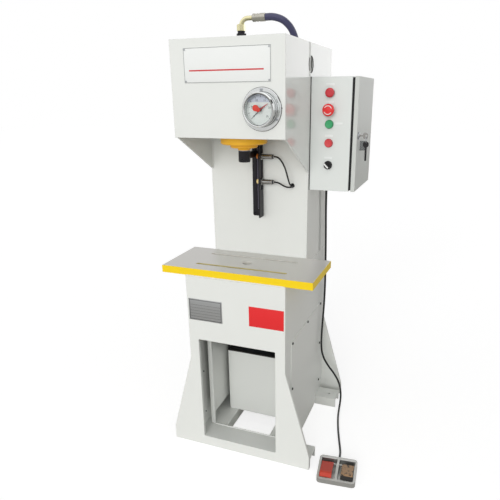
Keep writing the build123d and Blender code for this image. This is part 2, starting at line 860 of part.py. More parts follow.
# Hose elbow: union nut, bent tube and crimped ferrule, made up as one hose end
union_top = port_top + union_height
ferrule_z = union_top - 7 + elbow_radius
with BuildPart() as hose_elbow:
    with BuildSketch(Plane.XY.offset(port_top)):
        with Locations((0, ram_y)):
            RegularPolygon(union_hex / 2, 6, major_radius=False, rotation=30)
    extrude(amount=union_height)
    with BuildSketch(Plane.XZ.offset(-ram_y)):
        with BuildLine():
            Polyline(
                (union_hex / 2 - 1, union_top),
                (union_hex / 2 + 4, union_top),
                (union_hex / 2 + 4, union_top - 3),
                close=True,
            )
        make_face()
    revolve(axis=Axis((0, ram_y, 0), (0, 0, 1)), mode=Mode.SUBTRACT)
    with BuildLine() as elbow_path:
        FilletPolyline(
            (0, ram_y, port_top),
            (0, ram_y, ferrule_z),
            (ferrule_start, ram_y, ferrule_z),
            radius=elbow_radius,
        )
    with BuildSketch(Plane.XY.offset(port_top)):
        with Locations((0, ram_y)):
            Circle(elbow_tube / 2)
    sweep(path=elbow_path.wires()[0])
    with BuildSketch(Plane.XY.offset(ferrule_z)):
        with BuildLine():
            Polyline(
                (ferrule_start, ram_y),
                (ferrule_start, ram_y + ferrule_diameter / 2 - 3),
                (ferrule_start + 3, ram_y + ferrule_diameter / 2),
                (ferrule_start + 11, ram_y + ferrule_diameter / 2),
                (ferrule_start + 12, ram_y + ferrule_diameter / 2 - 1.2),
                (ferrule_start + 16, ram_y + ferrule_diameter / 2 - 1.2),
                (ferrule_start + 17, ram_y + ferrule_diameter / 2),
                (ferrule_start + 21, ram_y + ferrule_diameter / 2),
                (ferrule_start + 22, ram_y + ferrule_diameter / 2 - 1.2),
                (ferrule_start + 26, ram_y + ferrule_diameter / 2 - 1.2),
                (ferrule_start + 27, ram_y + ferrule_diameter / 2),
                (ferrule_end - 1, ram_y + ferrule_diameter / 2),
                (ferrule_end, ram_y + ferrule_diameter / 2 - 1),
                (ferrule_end, ram_y),
                close=True,
            )
        make_face()
    revolve(axis=Axis((0, ram_y, ferrule_z), (1, 0, 0)))

hose_elbow.part.label = "hose_elbow"
export_step(hose_elbow.part, "parts/hose_elbow.step")

# Valve block on the tank lid, with its two solenoids and hose ports
tank_back = tank_front + tank_length
lid_top = rail_height + tank_height + 5
valve_x = 96
valve_y = 185
valve_block_height = 60
valve_block_width = 80
valve_block_depth = 70
solenoid_span = 140
solenoid_width = 40
solenoid_height = 44
solenoid_rise = 34
valve_top = lid_top + valve_block_height
with BuildPart() as valve_block:
    with BuildSketch(Plane.XY.offset(lid_top)):
        with Locations((valve_x, valve_y)):
            Rectangle(valve_block_width, valve_block_depth)
    extrude(amount=valve_block_height)
    chamfer(valve_block.edges().filter_by(Axis.Z), length=4)
    with BuildSketch(Plane.YZ.offset(valve_x - solenoid_span / 2)):
        with Locations((valve_y, lid_top + solenoid_rise)):
            RectangleRounded(solenoid_width, solenoid_height, 6)
    extrude(amount=solenoid_span)
    with BuildSketch(Plane.XY.offset(valve_top)):
        with Locations((valve_x + 22, valve_y - 12)):
            RegularPolygon(15, 6)
        with Locations((valve_x - 22, valve_y + 12)):
            RegularPolygon(12, 6)
    extrude(amount=16)

valve_block.part.label = "valve_block"
export_step(valve_block.part, "parts/valve_block.step")

# Pressure hose: from the ferrule over the head, through the top plate and down to the valve block
hose_route = [
    (ferrule_end, ram_y, ferrule_z),
    (113, ram_y, ferrule_z),
    (144, ram_y + 6, ferrule_z - 9),
    (hose_hole_x - 10, ram_y + 20, ferrule_z - 31),
    (hose_hole_x, ram_y + 37, ferrule_z - 60),
    (hose_hole_x + 1.5, ram_y + 54, ferrule_z - 96),
    (hose_hole_x - 5, ram_y + 76, ferrule_z - 138),
    (157, ram_y + 108, ferrule_z - 184),
    (140, ram_y + 150, ferrule_z - 236),
    (126, ram_y + 196, ferrule_z - 300),
    (118, ram_y + 250, ferrule_z - 390),
    (116, ram_y + 290, ferrule_z - 540),
    (valve_x + 22, valve_y - 12, ferrule_z - 760),
    (valve_x + 22, valve_y - 12, valve_top + 16),
]
pressure_hose = cord_tube(hose_route, hose_diameter)
pressure_hose.label = "pressure_hose"
export_step(pressure_hose, "parts/pressure_hose.step")

# Return hose: from the lower cylinder port through the column plate to the valve block
return_route = [
    (0, ram_y + 70, return_port_z),
    (0, ram_y + 150, return_port_z),
    (4, ram_y + 205, return_port_z - 10),
    (14, ram_y + 250, return_port_z - 50),
    (28, ram_y + 280, return_port_z - 120),
    (48, ram_y + 305, return_port_z - 240),
    (valve_x - 22, valve_y + 12, return_port_z - 480),
    (valve_x - 22, valve_y + 12, valve_top + 16),
]
return_hose = cord_tube(return_route, return_hose_diameter)
return_hose.label = "return_hose"
export_step(return_hose, "parts/return_hose.step")

# Oil tank: folded sheet box with an outward rim under its lid
tank_y = (tank_front + tank_back) / 2
with BuildPart() as oil_tank:
    with BuildSketch(Plane.XY.offset(rail_height)):
        with Locations((0, tank_y)):
            RectangleRounded(tank_width, tank_length, 6)
    extrude(amount=tank_height)
    fillet(oil_tank.edges().group_by(Axis.Z)[0], radius=4)
    offset(amount=-tank_sheet, openings=oil_tank.faces().sort_by(Axis.Z)[-1])

oil_tank.part.label = "oil_tank"
export_step(oil_tank.part, "parts/oil_tank.step")

# Tank lid with the pump passage and the filler neck
motor_x = -52
motor_y = 90
with BuildPart() as tank_lid:
    with BuildSketch(Plane.XY.offset(rail_height + tank_height)):
        with Locations((0, tank_y)):
            RectangleRounded(tank_width, tank_length, 6)
        with Locations((motor_x, motor_y)):
            Circle(32, mode=Mode.SUBTRACT)
    extrude(amount=5)
    with BuildSketch(Plane.XY.offset(lid_top)):
        with Locations((96, 20)):
            Circle(24)
    extrude(amount=26)

tank_lid.part.label = "tank_lid"
export_step(tank_lid.part, "parts/tank_lid.step")

# Pump motor standing on the lid, with fins and fan cowl
with BuildPart() as pump_motor:
    with BuildSketch(Plane.XY.offset(lid_top)):
        with Locations((motor_x, motor_y)):
            Circle(motor_diameter / 2 + 8)
    extrude(amount=12)
    with BuildSketch(Plane.XY.offset(lid_top + 12)):
        with Locations((motor_x, motor_y)):
            Circle(motor_diameter / 2 - 8)
            with PolarLocations(motor_diameter / 2 - 6, 24):
                Rectangle(14, 3)
    extrude(amount=motor_length - 70)
    with BuildSketch(Plane.XY.offset(lid_top + motor_length - 58)):
        with Locations((motor_x, motor_y)):
            Circle(motor_diameter / 2 + 3)
    extrude(amount=58)
    fillet(pump_motor.faces().sort_by(Axis.Z)[-1].edges(), radius=10)
    with BuildSketch(Plane.YZ.offset(motor_x - motor_diameter / 2 - 22)):
        with Locations((motor_y, lid_top + 80)):
            RectangleRounded(64, 70, 6)
    extrude(amount=24)

pump_motor.part.label = "pump_motor"
export_step(pump_motor.part, "parts/pump_motor.step")

# Gear pump hanging in the oil under the motor
with BuildPart() as gear_pump:
    with BuildSketch(Plane.XY.offset(lid_top)):
        with Locations((motor_x, motor_y)):
            Circle(30)
    extrude(amount=-34)
    with BuildSketch(Plane.XY.offset(lid_top - 34)):
        with Locations((motor_x, motor_y)):
            RectangleRounded(76, 88, 12)
    extrude(amount=-78)
    with BuildSketch(Plane.XY.offset(lid_top - 112)):
        with Locations((motor_x + 12, motor_y)):
            Circle(11)
    extrude(amount=-120)
    with BuildSketch(Plane.XY.offset(lid_top - 232)):
        with Locations((motor_x + 12, motor_y)):
            Circle(28)
    extrude(amount=-30)

gear_pump.part.label = "gear_pump"
export_step(gear_pump.part, "parts/gear_pump.step")

# Gauge case: front flange, projecting bezel and the can behind the plate
gauge_rim = head_front - gauge_projection
gauge_axis = Axis((gauge_x, 0, gauge_height), (0, 1, 0))
with BuildPart() as gauge_case_part:
    with BuildSketch(Plane.XY.offset(gauge_height)):
        with BuildLine():
            Polyline(
                (gauge_x, head_front + gauge_back_depth),
                (gauge_x + gauge_case / 2 - 2, head_front + gauge_back_depth),
                (gauge_x + gauge_case / 2 - seat_gap, head_front + gauge_back_depth - 2),
                (gauge_x + gauge_case / 2 - seat_gap, head_front),
                (gauge_x + gauge_flange / 2, head_front),
                (gauge_x + gauge_flange / 2, head_front - gauge_flange_thickness + 1),
                (gauge_x + gauge_flange / 2 - 1, head_front - gauge_flange_thickness),
                (gauge_x + gauge_case / 2 - 1, head_front - gauge_flange_thickness),
                (gauge_x + gauge_case / 2 - 1, gauge_rim + 9),
                (gauge_x + gauge_case / 2 + 1, gauge_rim + 8),
                (gauge_x + gauge_case / 2 + 1, gauge_rim + 3),
                (gauge_x + gauge_case / 2 - 2, gauge_rim),
                (gauge_x + gauge_glass_diameter / 2 - gauge_lip, gauge_rim + 2),
                (gauge_x + gauge_glass_diameter / 2 - gauge_lip, gauge_rim + 4),
                (gauge_x + gauge_glass_diameter / 2 + running_gap, gauge_rim + 4),
                (gauge_x + gauge_glass_diameter / 2 + running_gap, head_front - 10),
                (gauge_x, head_front - 10),
                close=True,
            )
        make_face()
    revolve(axis=gauge_axis)
    with BuildSketch(Plane.XZ.offset(-head_front)):
        with Locations((gauge_x, gauge_height)):
            with PolarLocations(gauge_bolt_circle / 2, 3, start_angle=90):
                Circle(2.7)
    extrude(amount=gauge_flange_thickness, mode=Mode.SUBTRACT)

gauge_case_part.part.label = "gauge_case"
export_step(gauge_case_part.part, "parts/gauge_case.step")

# Dial plate in the case, with the hole for the pointer shaft
dial_face = head_front - 12
with BuildPart() as gauge_dial:
    with BuildSketch(Plane.XZ.offset(-head_front + 10)):
        with Locations((gauge_x, gauge_height)):
            Circle(gauge_glass_diameter / 2 - seat_gap)
            Circle(2.6, mode=Mode.SUBTRACT)
    extrude(amount=2)

gauge_dial.part.label = "gauge_dial"
export_step(gauge_dial.part, "parts/gauge_dial.step")

# Gauge glass, clamped behind the bezel lip, with the hole for the setting knob
with BuildPart() as gauge_glass:
    with BuildSketch(Plane.XZ.offset(-gauge_rim - 7)):
        with Locations((gauge_x, gauge_height)):
            Circle(gauge_glass_diameter / 2)
            Circle(3.1, mode=Mode.SUBTRACT)
    extrude(amount=3)

gauge_glass.part.label = "gauge_glass"
export_step(gauge_glass.part, "parts/gauge_glass.step")


def hand_plane(layer, angle):
    # Plane in front of the dial whose Y points along the hand, turned clockwise from upright.
    turn = math.radians(angle)
    return Plane(
        origin=(gauge_x, dial_face - layer, gauge_height),
        x_dir=(math.cos(turn), 0, -math.sin(turn)),
        z_dir=(0, -1, 0),
    )


# Pressure pointer on the shaft that comes through the dial
pointer_angle = -132
hub_height = 1.7
with BuildPart() as gauge_pointer:
    with BuildSketch(hand_plane(2, pointer_angle)):
        Polygon((-2.2, -11), (2.2, -11), (0.5, 36), (-0.5, 36), align=None)
    extrude(amount=1)
    with BuildSketch(hand_plane(2, pointer_angle)):
        Circle(5)
    extrude(amount=hub_height)
    with BuildSketch(hand_plane(-1.8, pointer_angle)):
        Circle(2.55)
    extrude(amount=3.8)

gauge_pointer.part.label = "gauge_pointer"
export_step(gauge_pointer.part, "parts/gauge_pointer.step")


def contact_hand(layer, angle):
    # Limit hand of the contact set, moved by the knob in the glass.
    with BuildPart() as hand:
        with BuildSketch(hand_plane(layer, angle)):
            Polygon((-2.6, 0), (2.6, 0), (0.6, 32), (-0.6, 32), align=None)
        extrude(amount=1)
        with BuildSketch(hand_plane(layer, angle)):
            Circle(5)
        extrude(amount=hub_height)
        with BuildSketch(hand_plane(layer, angle)):
            Circle(3.1)
        extrude(amount=hub_height, mode=Mode.SUBTRACT)
    return hand.part


gauge_low_hand = contact_hand(4, -70)
gauge_low_hand.label = "gauge_low_hand"
export_step(gauge_low_hand, "parts/gauge_low_hand.step")

gauge_high_hand = contact_hand(6, 56)
gauge_high_hand.label = "gauge_high_hand"
export_step(gauge_high_hand, "parts/gauge_high_hand.step")

# Setting knob in the middle of the glass: a thumb lobe beside its hub, and the stem to the hands
knob_back = gauge_rim + 3.7
knob_thickness = 5
knob_lobe = (gauge_x - 9, gauge_height + 5)
knob_stem = dial_face - 7.3 - knob_back
with BuildPart() as gauge_knob:
    with BuildSketch(Plane.XZ.offset(-knob_back)):
        with Locations((gauge_x, gauge_height)):
            Circle(6.5)
        with Locations(knob_lobe):
            Circle(9.5)
        make_hull()
    extrude(amount=knob_thickness)
    fillet(gauge_knob.faces().sort_by(Axis.Y)[0].edges(), radius=1.8)
    with BuildSketch(Plane.XZ.offset(-knob_back)):
        with Locations((gauge_x, gauge_height)):
            Circle(3)
    extrude(amount=-knob_stem)
    with BuildSketch(Plane.XZ.offset(knob_thickness - knob_back)):
        with Locations((gauge_x, gauge_height)):
            Rectangle(1.6, 8)
    extrude(amount=-1.4, mode=Mode.SUBTRACT)

gauge_knob.part.label = "gauge_knob"
export_step(gauge_knob.part, "parts/gauge_knob.step")

# Control box: folded steel shell bolted to the column side, open towards the door with a sealing neck
box_back = box_front + box_depth
box_top = box_bottom + box_height
lamp_height = box_top - lamp_drop
estop_height = box_top - estop_drop
green_height = box_top - green_drop
red_height = box_top - red_drop
selector_height = box_top - selector_drop
box_face = half_width + box_width
box_mid_y = (box_front + box_back) / 2
box_mid_z = (box_bottom + box_top) / 2
neck_depth = 12
hinge_x = box_face + 6
hinge_y = box_back + hinge_barrel / 2
hinge_heights = (box_bottom + hinge_inset, box_top - hinge_inset)
device_places = (
    (device_x, lamp_height),
    (device_x, estop_height),
    (device_x, green_height),
    (device_x, red_height),
    (device_x, selector_height),
)
with BuildPart() as control_box:
    with BuildSketch(Plane.YZ.offset(half_width)):
        with Locations((box_mid_y, box_mid_z)):
            Rectangle(box_depth, box_height)
    extrude(amount=box_width)
    with BuildSketch(Plane.YZ.offset(half_width + box_sheet)):
        with Locations((box_mid_y, box_mid_z)):
            Rectangle(box_depth - 2 * box_sheet, box_height - 2 * box_sheet)
    extrude(amount=box_width - 2 * box_sheet, mode=Mode.SUBTRACT)
    with BuildSketch(Plane.YZ.offset(box_face)):
        with Locations((box_mid_y, box_mid_z)):
            Rectangle(box_depth - 2 * neck_inset, box_height - 2 * neck_inset)
    extrude(amount=neck_depth)
    with BuildSketch(Plane.YZ.offset(box_face + neck_depth)):
        with Locations((box_mid_y, box_mid_z)):
            Rectangle(
                box_depth - 2 * neck_inset - 2 * box_sheet, box_height - 2 * neck_inset - 2 * box_sheet
            )
    extrude(amount=-neck_depth - box_sheet, mode=Mode.SUBTRACT)
    with BuildSketch(Plane.YZ.offset(box_face + 1.5)):
        with Locations((box_front + neck_inset + box_sheet + keeper_depth / 2, box_mid_z)):
            Rectangle(keeper_depth, 28)
    extrude(amount=2.5)
    with BuildSketch(Plane.XZ.offset(-box_front)):
        with Locations(*device_places):
            Circle(11)
    extrude(amount=-box_sheet, mode=Mode.SUBTRACT)
    with BuildSketch(Plane.XY.offset(box_bottom)):
        with Locations((half_width + 13, 232)):
            Circle(8)
    extrude(amount=box_sheet, mode=Mode.SUBTRACT)
    with BuildSketch(Plane.YZ.offset(half_width + box_sheet)):
        with Locations((cable_hole_y + 60, box_top - 60)):
            Circle(20)
    extrude(amount=-box_sheet, mode=Mode.SUBTRACT)
    for hinge_z in hinge_heights:
        with BuildSketch(Plane.XY.offset(hinge_z - hinge_length / 2)):
            with Locations((box_face - 6, box_back + 1)):
                Rectangle(12, 2)
            with Locations((hinge_x - 3, box_back + 2)):
                Rectangle(6, 4)
            with Locations((hinge_x, hinge_y)):
                Circle(hinge_barrel / 2)
        extrude(amount=hinge_length / 2 - 0.3)
        with BuildSketch(Plane.XY.offset(hinge_z - 0.3)):
            with Locations((hinge_x, hinge_y)):
                Circle(hinge_pin / 2)
        extrude(amount=hinge_length / 2 - 2)

control_box.part.label = "control_box"
export_step(control_box.part, "parts/control_box.step")

# Door: shallow folded pan with its hinge barrels on the back edge
door_face = box_face + door_gap + door_thickness
lock_y = box_front + 24
lock_z = box_mid_z
door_sheet = 2
with BuildPart() as box_door:
    with BuildSketch(Plane.YZ.offset(box_face + door_gap)):
        with Locations((box_mid_y, box_mid_z)):
            Rectangle(box_depth, box_height)
    extrude(amount=door_thickness)
    fillet(box_door.faces().sort_by(Axis.X)[-1].edges(), radius=2)
    with BuildSketch(Plane.YZ.offset(box_face + door_gap)):
        with Locations((box_mid_y, box_mid_z)):
            Rectangle(box_depth - 2 * door_sheet, box_height - 2 * door_sheet)
    extrude(amount=door_thickness - door_sheet, mode=Mode.SUBTRACT)
    with BuildSketch(Plane.YZ.offset(door_face)):
        with Locations((lock_y, lock_z)):
            Circle(9.1)
    extrude(amount=-door_sheet, mode=Mode.SUBTRACT)
    for hinge_z in hinge_heights:
        with BuildSketch(Plane.XY.offset(hinge_z)):
            with Locations((hinge_x + 6, box_back + 2)):
                Rectangle(12, 4)
            with Locations((hinge_x, hinge_y)):
                Circle(hinge_barrel / 2)
                Circle(hinge_pin / 2 + running_gap, mode=Mode.SUBTRACT)
        extrude(amount=hinge_length / 2)

box_door.part.label = "control_box_door"
export_step(box_door.part, "parts/control_box_door.step")

# Door seal: foam strip in the pan that closes on the box neck
seal_width = 8
seal_over = 3
with BuildPart() as door_seal:
    with BuildSketch(Plane.YZ.offset(box_face + neck_depth + seat_gap)):
        with Locations((box_mid_y, box_mid_z)):
            Rectangle(
                box_depth - 2 * neck_inset + 2 * seal_over,
                box_height - 2 * neck_inset + 2 * seal_over,
            )
            Rectangle(
                box_depth - 2 * neck_inset + 2 * seal_over - 2 * seal_width,
                box_height - 2 * neck_inset + 2 * seal_over - 2 * seal_width,
                mode=Mode.SUBTRACT,
            )
    extrude(amount=door_gap + door_thickness - door_sheet - neck_depth - seat_gap)

door_seal.part.label = "door_seal"
export_step(door_seal.part, "parts/door_seal.step")

# Lock barrel through the door skin
with BuildPart() as lock_barrel:
    with BuildSketch(Plane.YZ.offset(door_face)):
        with Locations((lock_y, lock_z)):
            Circle(13)
            Circle(7.05, mode=Mode.SUBTRACT)
    extrude(amount=5)
    fillet(lock_barrel.edges().filter_by(GeomType.CIRCLE).sort_by(Axis.X)[-1], radius=1)
    with BuildSketch(Plane.YZ.offset(door_face)):
        with Locations((lock_y, lock_z)):
            Circle(9)
            Circle(7.05, mode=Mode.SUBTRACT)
    extrude(amount=-door_sheet - 6)

lock_barrel.part.label = "lock_barrel"
export_step(lock_barrel.part, "parts/lock_barrel.step")

# Lock plug with the inserted key, its latch cam behind the door skin
key_thickness = 2
plug_front = door_face + 7
bow_start = door_face + 17
bow_hole_x = bow_start + 12
plug_back = box_face + 0.5
with BuildPart() as lock_key:
    with BuildSketch(Plane.YZ.offset(plug_back)):
        with Locations((lock_y, lock_z)):
            Circle(7)
    extrude(amount=plug_front - plug_back)
    with BuildSketch(Plane.YZ.offset(plug_back)):
        with Locations((lock_y, lock_z + 3.5)):
            RectangleRounded(11, 19, 4)
    extrude(amount=-2.5)
    with BuildSketch(Plane.XZ.offset(-lock_y - key_thickness / 2)):
        with Locations(((plug_front + bow_start) / 2, lock_z)):
            Rectangle(bow_start - plug_front + 2, 6)
        with Locations((bow_start + 9, lock_z)):
            RectangleRounded(18, 22, 7)
        with Locations((bow_hole_x, lock_z)):
            Circle(3.3, mode=Mode.SUBTRACT)
    extrude(amount=key_thickness)

lock_key.part.label = "lock_key"
export_step(lock_key.part, "parts/lock_key.step")

# Key ring hanging through the bow of the key
ring_radius = 11
ring_wire = 0.9
ring_drop = 13
ring_z = lock_z - ring_drop
with BuildPart() as key_ring:
    with BuildSketch(Plane.XY.offset(ring_z)):
        with Locations((bow_hole_x, lock_y + ring_radius)):
            Circle(ring_wire)
    revolve(axis=Axis((bow_hole_x, lock_y, ring_z), (1, 0, 0)))

key_ring.part.label = "key_ring"
export_step(key_ring.part, "parts/key_ring.step")

# Spare key hanging from the ring, and the strap behind it
hang_z = ring_z - ring_radius
with BuildPart() as spare_key:
    with BuildSketch(Plane.XZ.offset(-lock_y - key_thickness / 2)):
        with Locations((bow_hole_x, hang_z - 6.2)):
            RectangleRounded(20, 18, 6)
        with Locations((bow_hole_x, hang_z - 28)):
            Rectangle(6, 28)
        with Locations((bow_hole_x, hang_z - 1.2)):
            Circle(2.4, mode=Mode.SUBTRACT)
    extrude(amount=key_thickness)

spare_key.part.label = "spare_key"
export_step(spare_key.part, "parts/spare_key.step")

strap_width = 6.5
strap_length = 70
strap_sheet = 1.6
strap_gap = 3
with BuildPart() as key_strap:
    with BuildSketch(Plane.XZ.offset(-lock_y - key_thickness / 2 - strap_gap)):
        with Locations((bow_hole_x, hang_z + 4.7 - strap_length / 2)):
            RectangleRounded(strap_width, strap_length, 3)
        with Locations((bow_hole_x, hang_z + 0.7)):
            Circle(2.2, mode=Mode.SUBTRACT)
    extrude(amount=-strap_sheet)

key_strap.part.label = "key_strap"
export_step(key_strap.part, "parts/key_strap.step")

# Bezels of the five devices: rings with a recess that takes the button heads
with BuildPart() as device_bezels:
    with BuildSketch(Plane.XZ.offset(-box_front)):
        with Locations(*device_places):
            Circle(bezel_diameter / 2)
            Circle(button_diameter / 2 + 0.4, mode=Mode.SUBTRACT)
    extrude(amount=bezel_floor)
    with BuildSketch(Plane.XZ.offset(bezel_floor - box_front)):
        with Locations(*device_places):
            Circle(bezel_diameter / 2)
            Circle(button_head / 2 + seat_gap, mode=Mode.SUBTRACT)
    extrude(amount=bezel_height - bezel_floor)
    fillet(device_bezels.edges().filter_by(GeomType.CIRCLE).filter_by(
        lambda rim: abs(rim.radius - bezel_diameter / 2) < 0.01
    ).group_by(Axis.Y)[0], radius=1)

device_bezels.part.label = "device_bezels"
export_step(device_bezels.part, "parts/device_bezels.step")


def device_plane(height, gap):
    return Plane(origin=(device_x, box_front - gap, height), x_dir=(1, 0, 0), z_dir=(0, -1, 0))


# Pilot lamp: domed lens with its body behind the panel
with BuildPart() as pilot_lamp:
    with BuildSketch(device_plane(lamp_height, -40)):
        Circle(button_diameter / 2 - 0.2)
    extrude(amount=40 + bezel_height)
    with BuildSketch(device_plane(lamp_height, bezel_height)):
        Circle(lamp_diameter / 2)
    extrude(amount=10)
    fillet(pilot_lamp.faces().sort_by(Axis.Y)[0].edges(), radius=7)

pilot_lamp.part.label = "pilot_lamp"
export_step(pilot_lamp.part, "parts/pilot_lamp.step")

# Emergency stop: mushroom head on its stem
head_back = box_front - bezel_height - button_travel - 1
head_radius = estop_diameter / 2
stem_radius = button_diameter / 2 - 0.4
with BuildPart() as estop_button:
    with BuildSketch(Plane.XY.offset(estop_height)):
        with BuildLine():
            Polyline(
                (device_x, box_front + 40),
                (device_x + stem_radius, box_front + 40),
                (device_x + stem_radius, head_back),
                (device_x + head_radius - 5.5, head_back),
                (device_x + head_radius - 1, head_back - 5),
                (device_x + head_radius, head_back - 9),
                (device_x + head_radius, head_back - 13),
                (device_x + head_radius - 2.5, head_back - 17),
                (device_x + head_radius - 8.5, head_back - 19),
                (device_x, head_back - 20),
                close=True,
            )
        make_face()
    revolve(axis=Axis((device_x, 0, estop_height), (0, 1, 0)))

estop_button.part.label = "estop_button"
export_step(estop_button.part, "parts/estop_button.step")


dish_radius = 60
dish_depth = 1.2


def push_button(height):
    # Button head with a dished face, standing its travel above the bezel recess, and its plunger.
    head_start = bezel_floor + button_travel + seat_gap
    with BuildPart() as button:
        with BuildSketch(device_plane(height, -30)):
            Circle(button_diameter / 2 - 0.2)
        extrude(amount=30 + head_start)
        with BuildSketch(device_plane(height, head_start)):
            Circle(button_head / 2)
        extrude(amount=bezel_height + button_travel - head_start)
        cap_face = button.faces().sort_by(Axis.Y)[0]
        fillet(cap_face.edges(), radius=1.5)
        with Locations((device_x, box_front - bezel_height - button_travel + dish_depth - dish_radius, height)):
            Sphere(dish_radius, mode=Mode.SUBTRACT)
    return button.part


green_button = push_button(green_height)
green_button.label = "green_button"
export_step(green_button, "parts/green_button.step")

red_button = push_button(red_height)
red_button.label = "red_button"
export_step(red_button, "parts/red_button.step")

# Selector switch: round base with a raised grip across it
selector_angle = 45
with BuildPart() as selector_knob:
    with BuildSketch(device_plane(selector_height, -30)):
        Circle(button_diameter / 2 - 0.2)
    extrude(amount=30 + bezel_height)
    with BuildSketch(device_plane(selector_height, bezel_height)):
        Circle(selector_diameter / 2)
    extrude(amount=4, taper=12)
    with BuildSketch(device_plane(selector_height, bezel_height + 4)):
        with Locations(Location((0, 0), 90 + selector_angle)):
            SlotOverall(selector_diameter - 3, 9)
    extrude(amount=13, taper=4)

selector_knob.part.label = "selector_knob"
export_step(selector_knob.part, "parts/selector_knob.step")

# Gland for the foot switch cable under the control box
gland_x = half_width + 13
gland_y = 232
gland_length = 30
with BuildPart() as cable_gland:
    with BuildSketch(Plane.XY.offset(box_bottom - 10)):
        with Locations((gland_x, gland_y)):
            RegularPolygon(11, 6, major_radius=False)
    extrude(amount=10)
    with BuildSketch(Plane.XY.offset(box_bottom - 10)):
        with Locations((gland_x, gland_y)):
            Circle(9.5)
    extrude(amount=-20, taper=10)
    with BuildSketch(Plane.XY.offset(box_bottom)):
        with Locations((gland_x, gland_y)):
            Circle(7.8)
    extrude(amount=8)

cable_gland.part.label = "cable_gland"
export_step(cable_gland.part, "parts/cable_gland.step")

# Foot switch housing: cast tray with two pedal wells, sloping forward, and a raised middle rib
switch_plane = Plane(origin=(foot_switch_x, foot_switch_y, 0)).rotated((0, 0, foot_switch_turn))
half_length = foot_switch_length / 2
pin_y = half_length - 31.5
pin_z = 25
pin_radius = 3
well_length = foot_switch_length - well_front_rim - well_back_rim
with BuildPart() as foot_switch_housing:
    with BuildSketch(Plane.YZ.offset(-foot_switch_width / 2)):
        with BuildLine():
            Polyline(
                (-half_length, 0),
                (-half_length, foot_switch_front),
                (half_length - 34, foot_switch_rear),
                (half_length, foot_switch_rear),
                (half_length, 0),
                close=True,
            )
        make_face()
    extrude(amount=foot_switch_width)
    fillet(foot_switch_housing.edges().filter_by(Axis.Z), radius=14)
    with BuildSketch(Plane.XY.offset(3)):
        with Locations((0, (well_front_rim - well_back_rim) / 2)):
            with GridLocations(well_pitch, 0, 2, 1):
                RectangleRounded(well_width, well_length, 5)
    extrude(amount=foot_switch_rear, mode=Mode.SUBTRACT)
    chamfer(foot_switch_housing.faces().sort_by(Axis.Z)[-1].edges().filter_by(Axis.X), length=2)
    with BuildSketch(Plane.YZ.offset(-foot_switch_width / 2 + 2)):
        with Locations((pin_y, pin_z)):
            Circle(pin_radius)
    extrude(amount=foot_switch_width - 4)

housing = foot_switch_housing.part.moved(switch_plane.location)
housing.label = "foot_switch_housing"
export_step(housing, "parts/foot_switch_housing.step")


def pedal(offset_x):
    # Pressed pedal with a rolled front lip, turning on the pin at its heel.
    tip = pin_y - pedal_length
    with BuildPart() as plate:
        with BuildSketch(Plane.YZ.offset(offset_x - pedal_width / 2)):
            with BuildLine():
                Polyline(
                    (pin_y, pin_z + 6.5),
                    (tip + 22, 39),
                    (tip + 14, 37),
                    (tip + 8, 22),
                    (tip + 11, 21),
                    (tip + 17, 33),
                    (tip + 24, 35),
                    (pin_y - 6, pin_z + 2),
                    (pin_y - 4, pin_z - 5),
                    (pin_y, pin_z - 6.5),
                    (pin_y + 5, pin_z - 4),
                    (pin_y + 6.5, pin_z),
                    (pin_y + 5, pin_z + 4),
                    close=True,
                )
            make_face()
            with Locations((pin_y, pin_z)):
                Circle(pin_radius + running_gap, mode=Mode.SUBTRACT)
        extrude(amount=pedal_width)
    return plate.part.moved(switch_plane.location)


red_pedal = pedal(-pedal_pitch / 2)
red_pedal.label = "red_pedal"
export_step(red_pedal, "parts/red_pedal.step")

black_pedal = pedal(pedal_pitch / 2)
black_pedal.label = "black_pedal"
export_step(black_pedal, "parts/black_pedal.step")

# Rubber boot where the cable enters the housing
boot_z = 13
boot_length = 16
with BuildPart() as cable_boot:
    with BuildSketch(Plane.XZ.offset(-half_length)):
        with Locations((0, boot_z)):
            Circle(12)
    extrude(amount=-boot_length, taper=20)

boot = cable_boot.part.moved(switch_plane.location)
boot.label = "cable_boot"
export_step(boot, "parts/cable_boot.step")

# Foot switch cable: down the column side, out over the back foot and forward along the floor
cable_rest = foot_cable_diameter / 2
boot_exit = (switch_plane.location * Location((0, half_length + boot_length, boot_z))).position
boot_lead = (switch_plane.location * Location((0, half_length + boot_length + 22, boot_z))).position
boot_floor = (switch_plane.location * Location((-2, half_length + boot_length + 58, cable_rest))).position
foot_route = [
    (gland_x, gland_y, box_bottom - gland_length),
    (gland_x, gland_y, 985),
    (gland_x, gland_y + 5, 920),
    (gland_x + 0.5, gland_y + 13, 830),
    (gland_x + 1.5, gland_y + 20, 710),
    (gland_x + 2, gland_y + 23, 590),
    (gland_x + 1, gland_y + 18, 480),
    (gland_x - 1, gland_y + 2, 385),
    (gland_x, gland_y - 12, 305),
    (gland_x + 7, gland_y - 12, 245),
    (gland_x + 33, gland_y - 6, 192),
    (gland_x + 66, gland_y - 3, 152),
    (gland_x + 93, gland_y - 6, 108),
    (gland_x + 105, gland_y - 14, 62),
    (gland_x + 108, gland_y - 32, 24),
    (gland_x + 110, gland_y - 66, cable_rest),
    (gland_x + 119, gland_y - 128, cable_rest),
    (gland_x + 137, gland_y - 205, cable_rest),
    (gland_x + 160, gland_y - 285, cable_rest),
    (boot_floor.X, boot_floor.Y, boot_floor.Z),
    (boot_lead.X, boot_lead.Y, boot_lead.Z),
    (boot_exit.X, boot_exit.Y, boot_exit.Z),
]
foot_switch_cable = cord_tube(foot_route, foot_cable_diameter)
foot_switch_cable.label = "foot_switch_cable"
export_step(foot_switch_cable, "parts/foot_switch_cable.step")
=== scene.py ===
import math

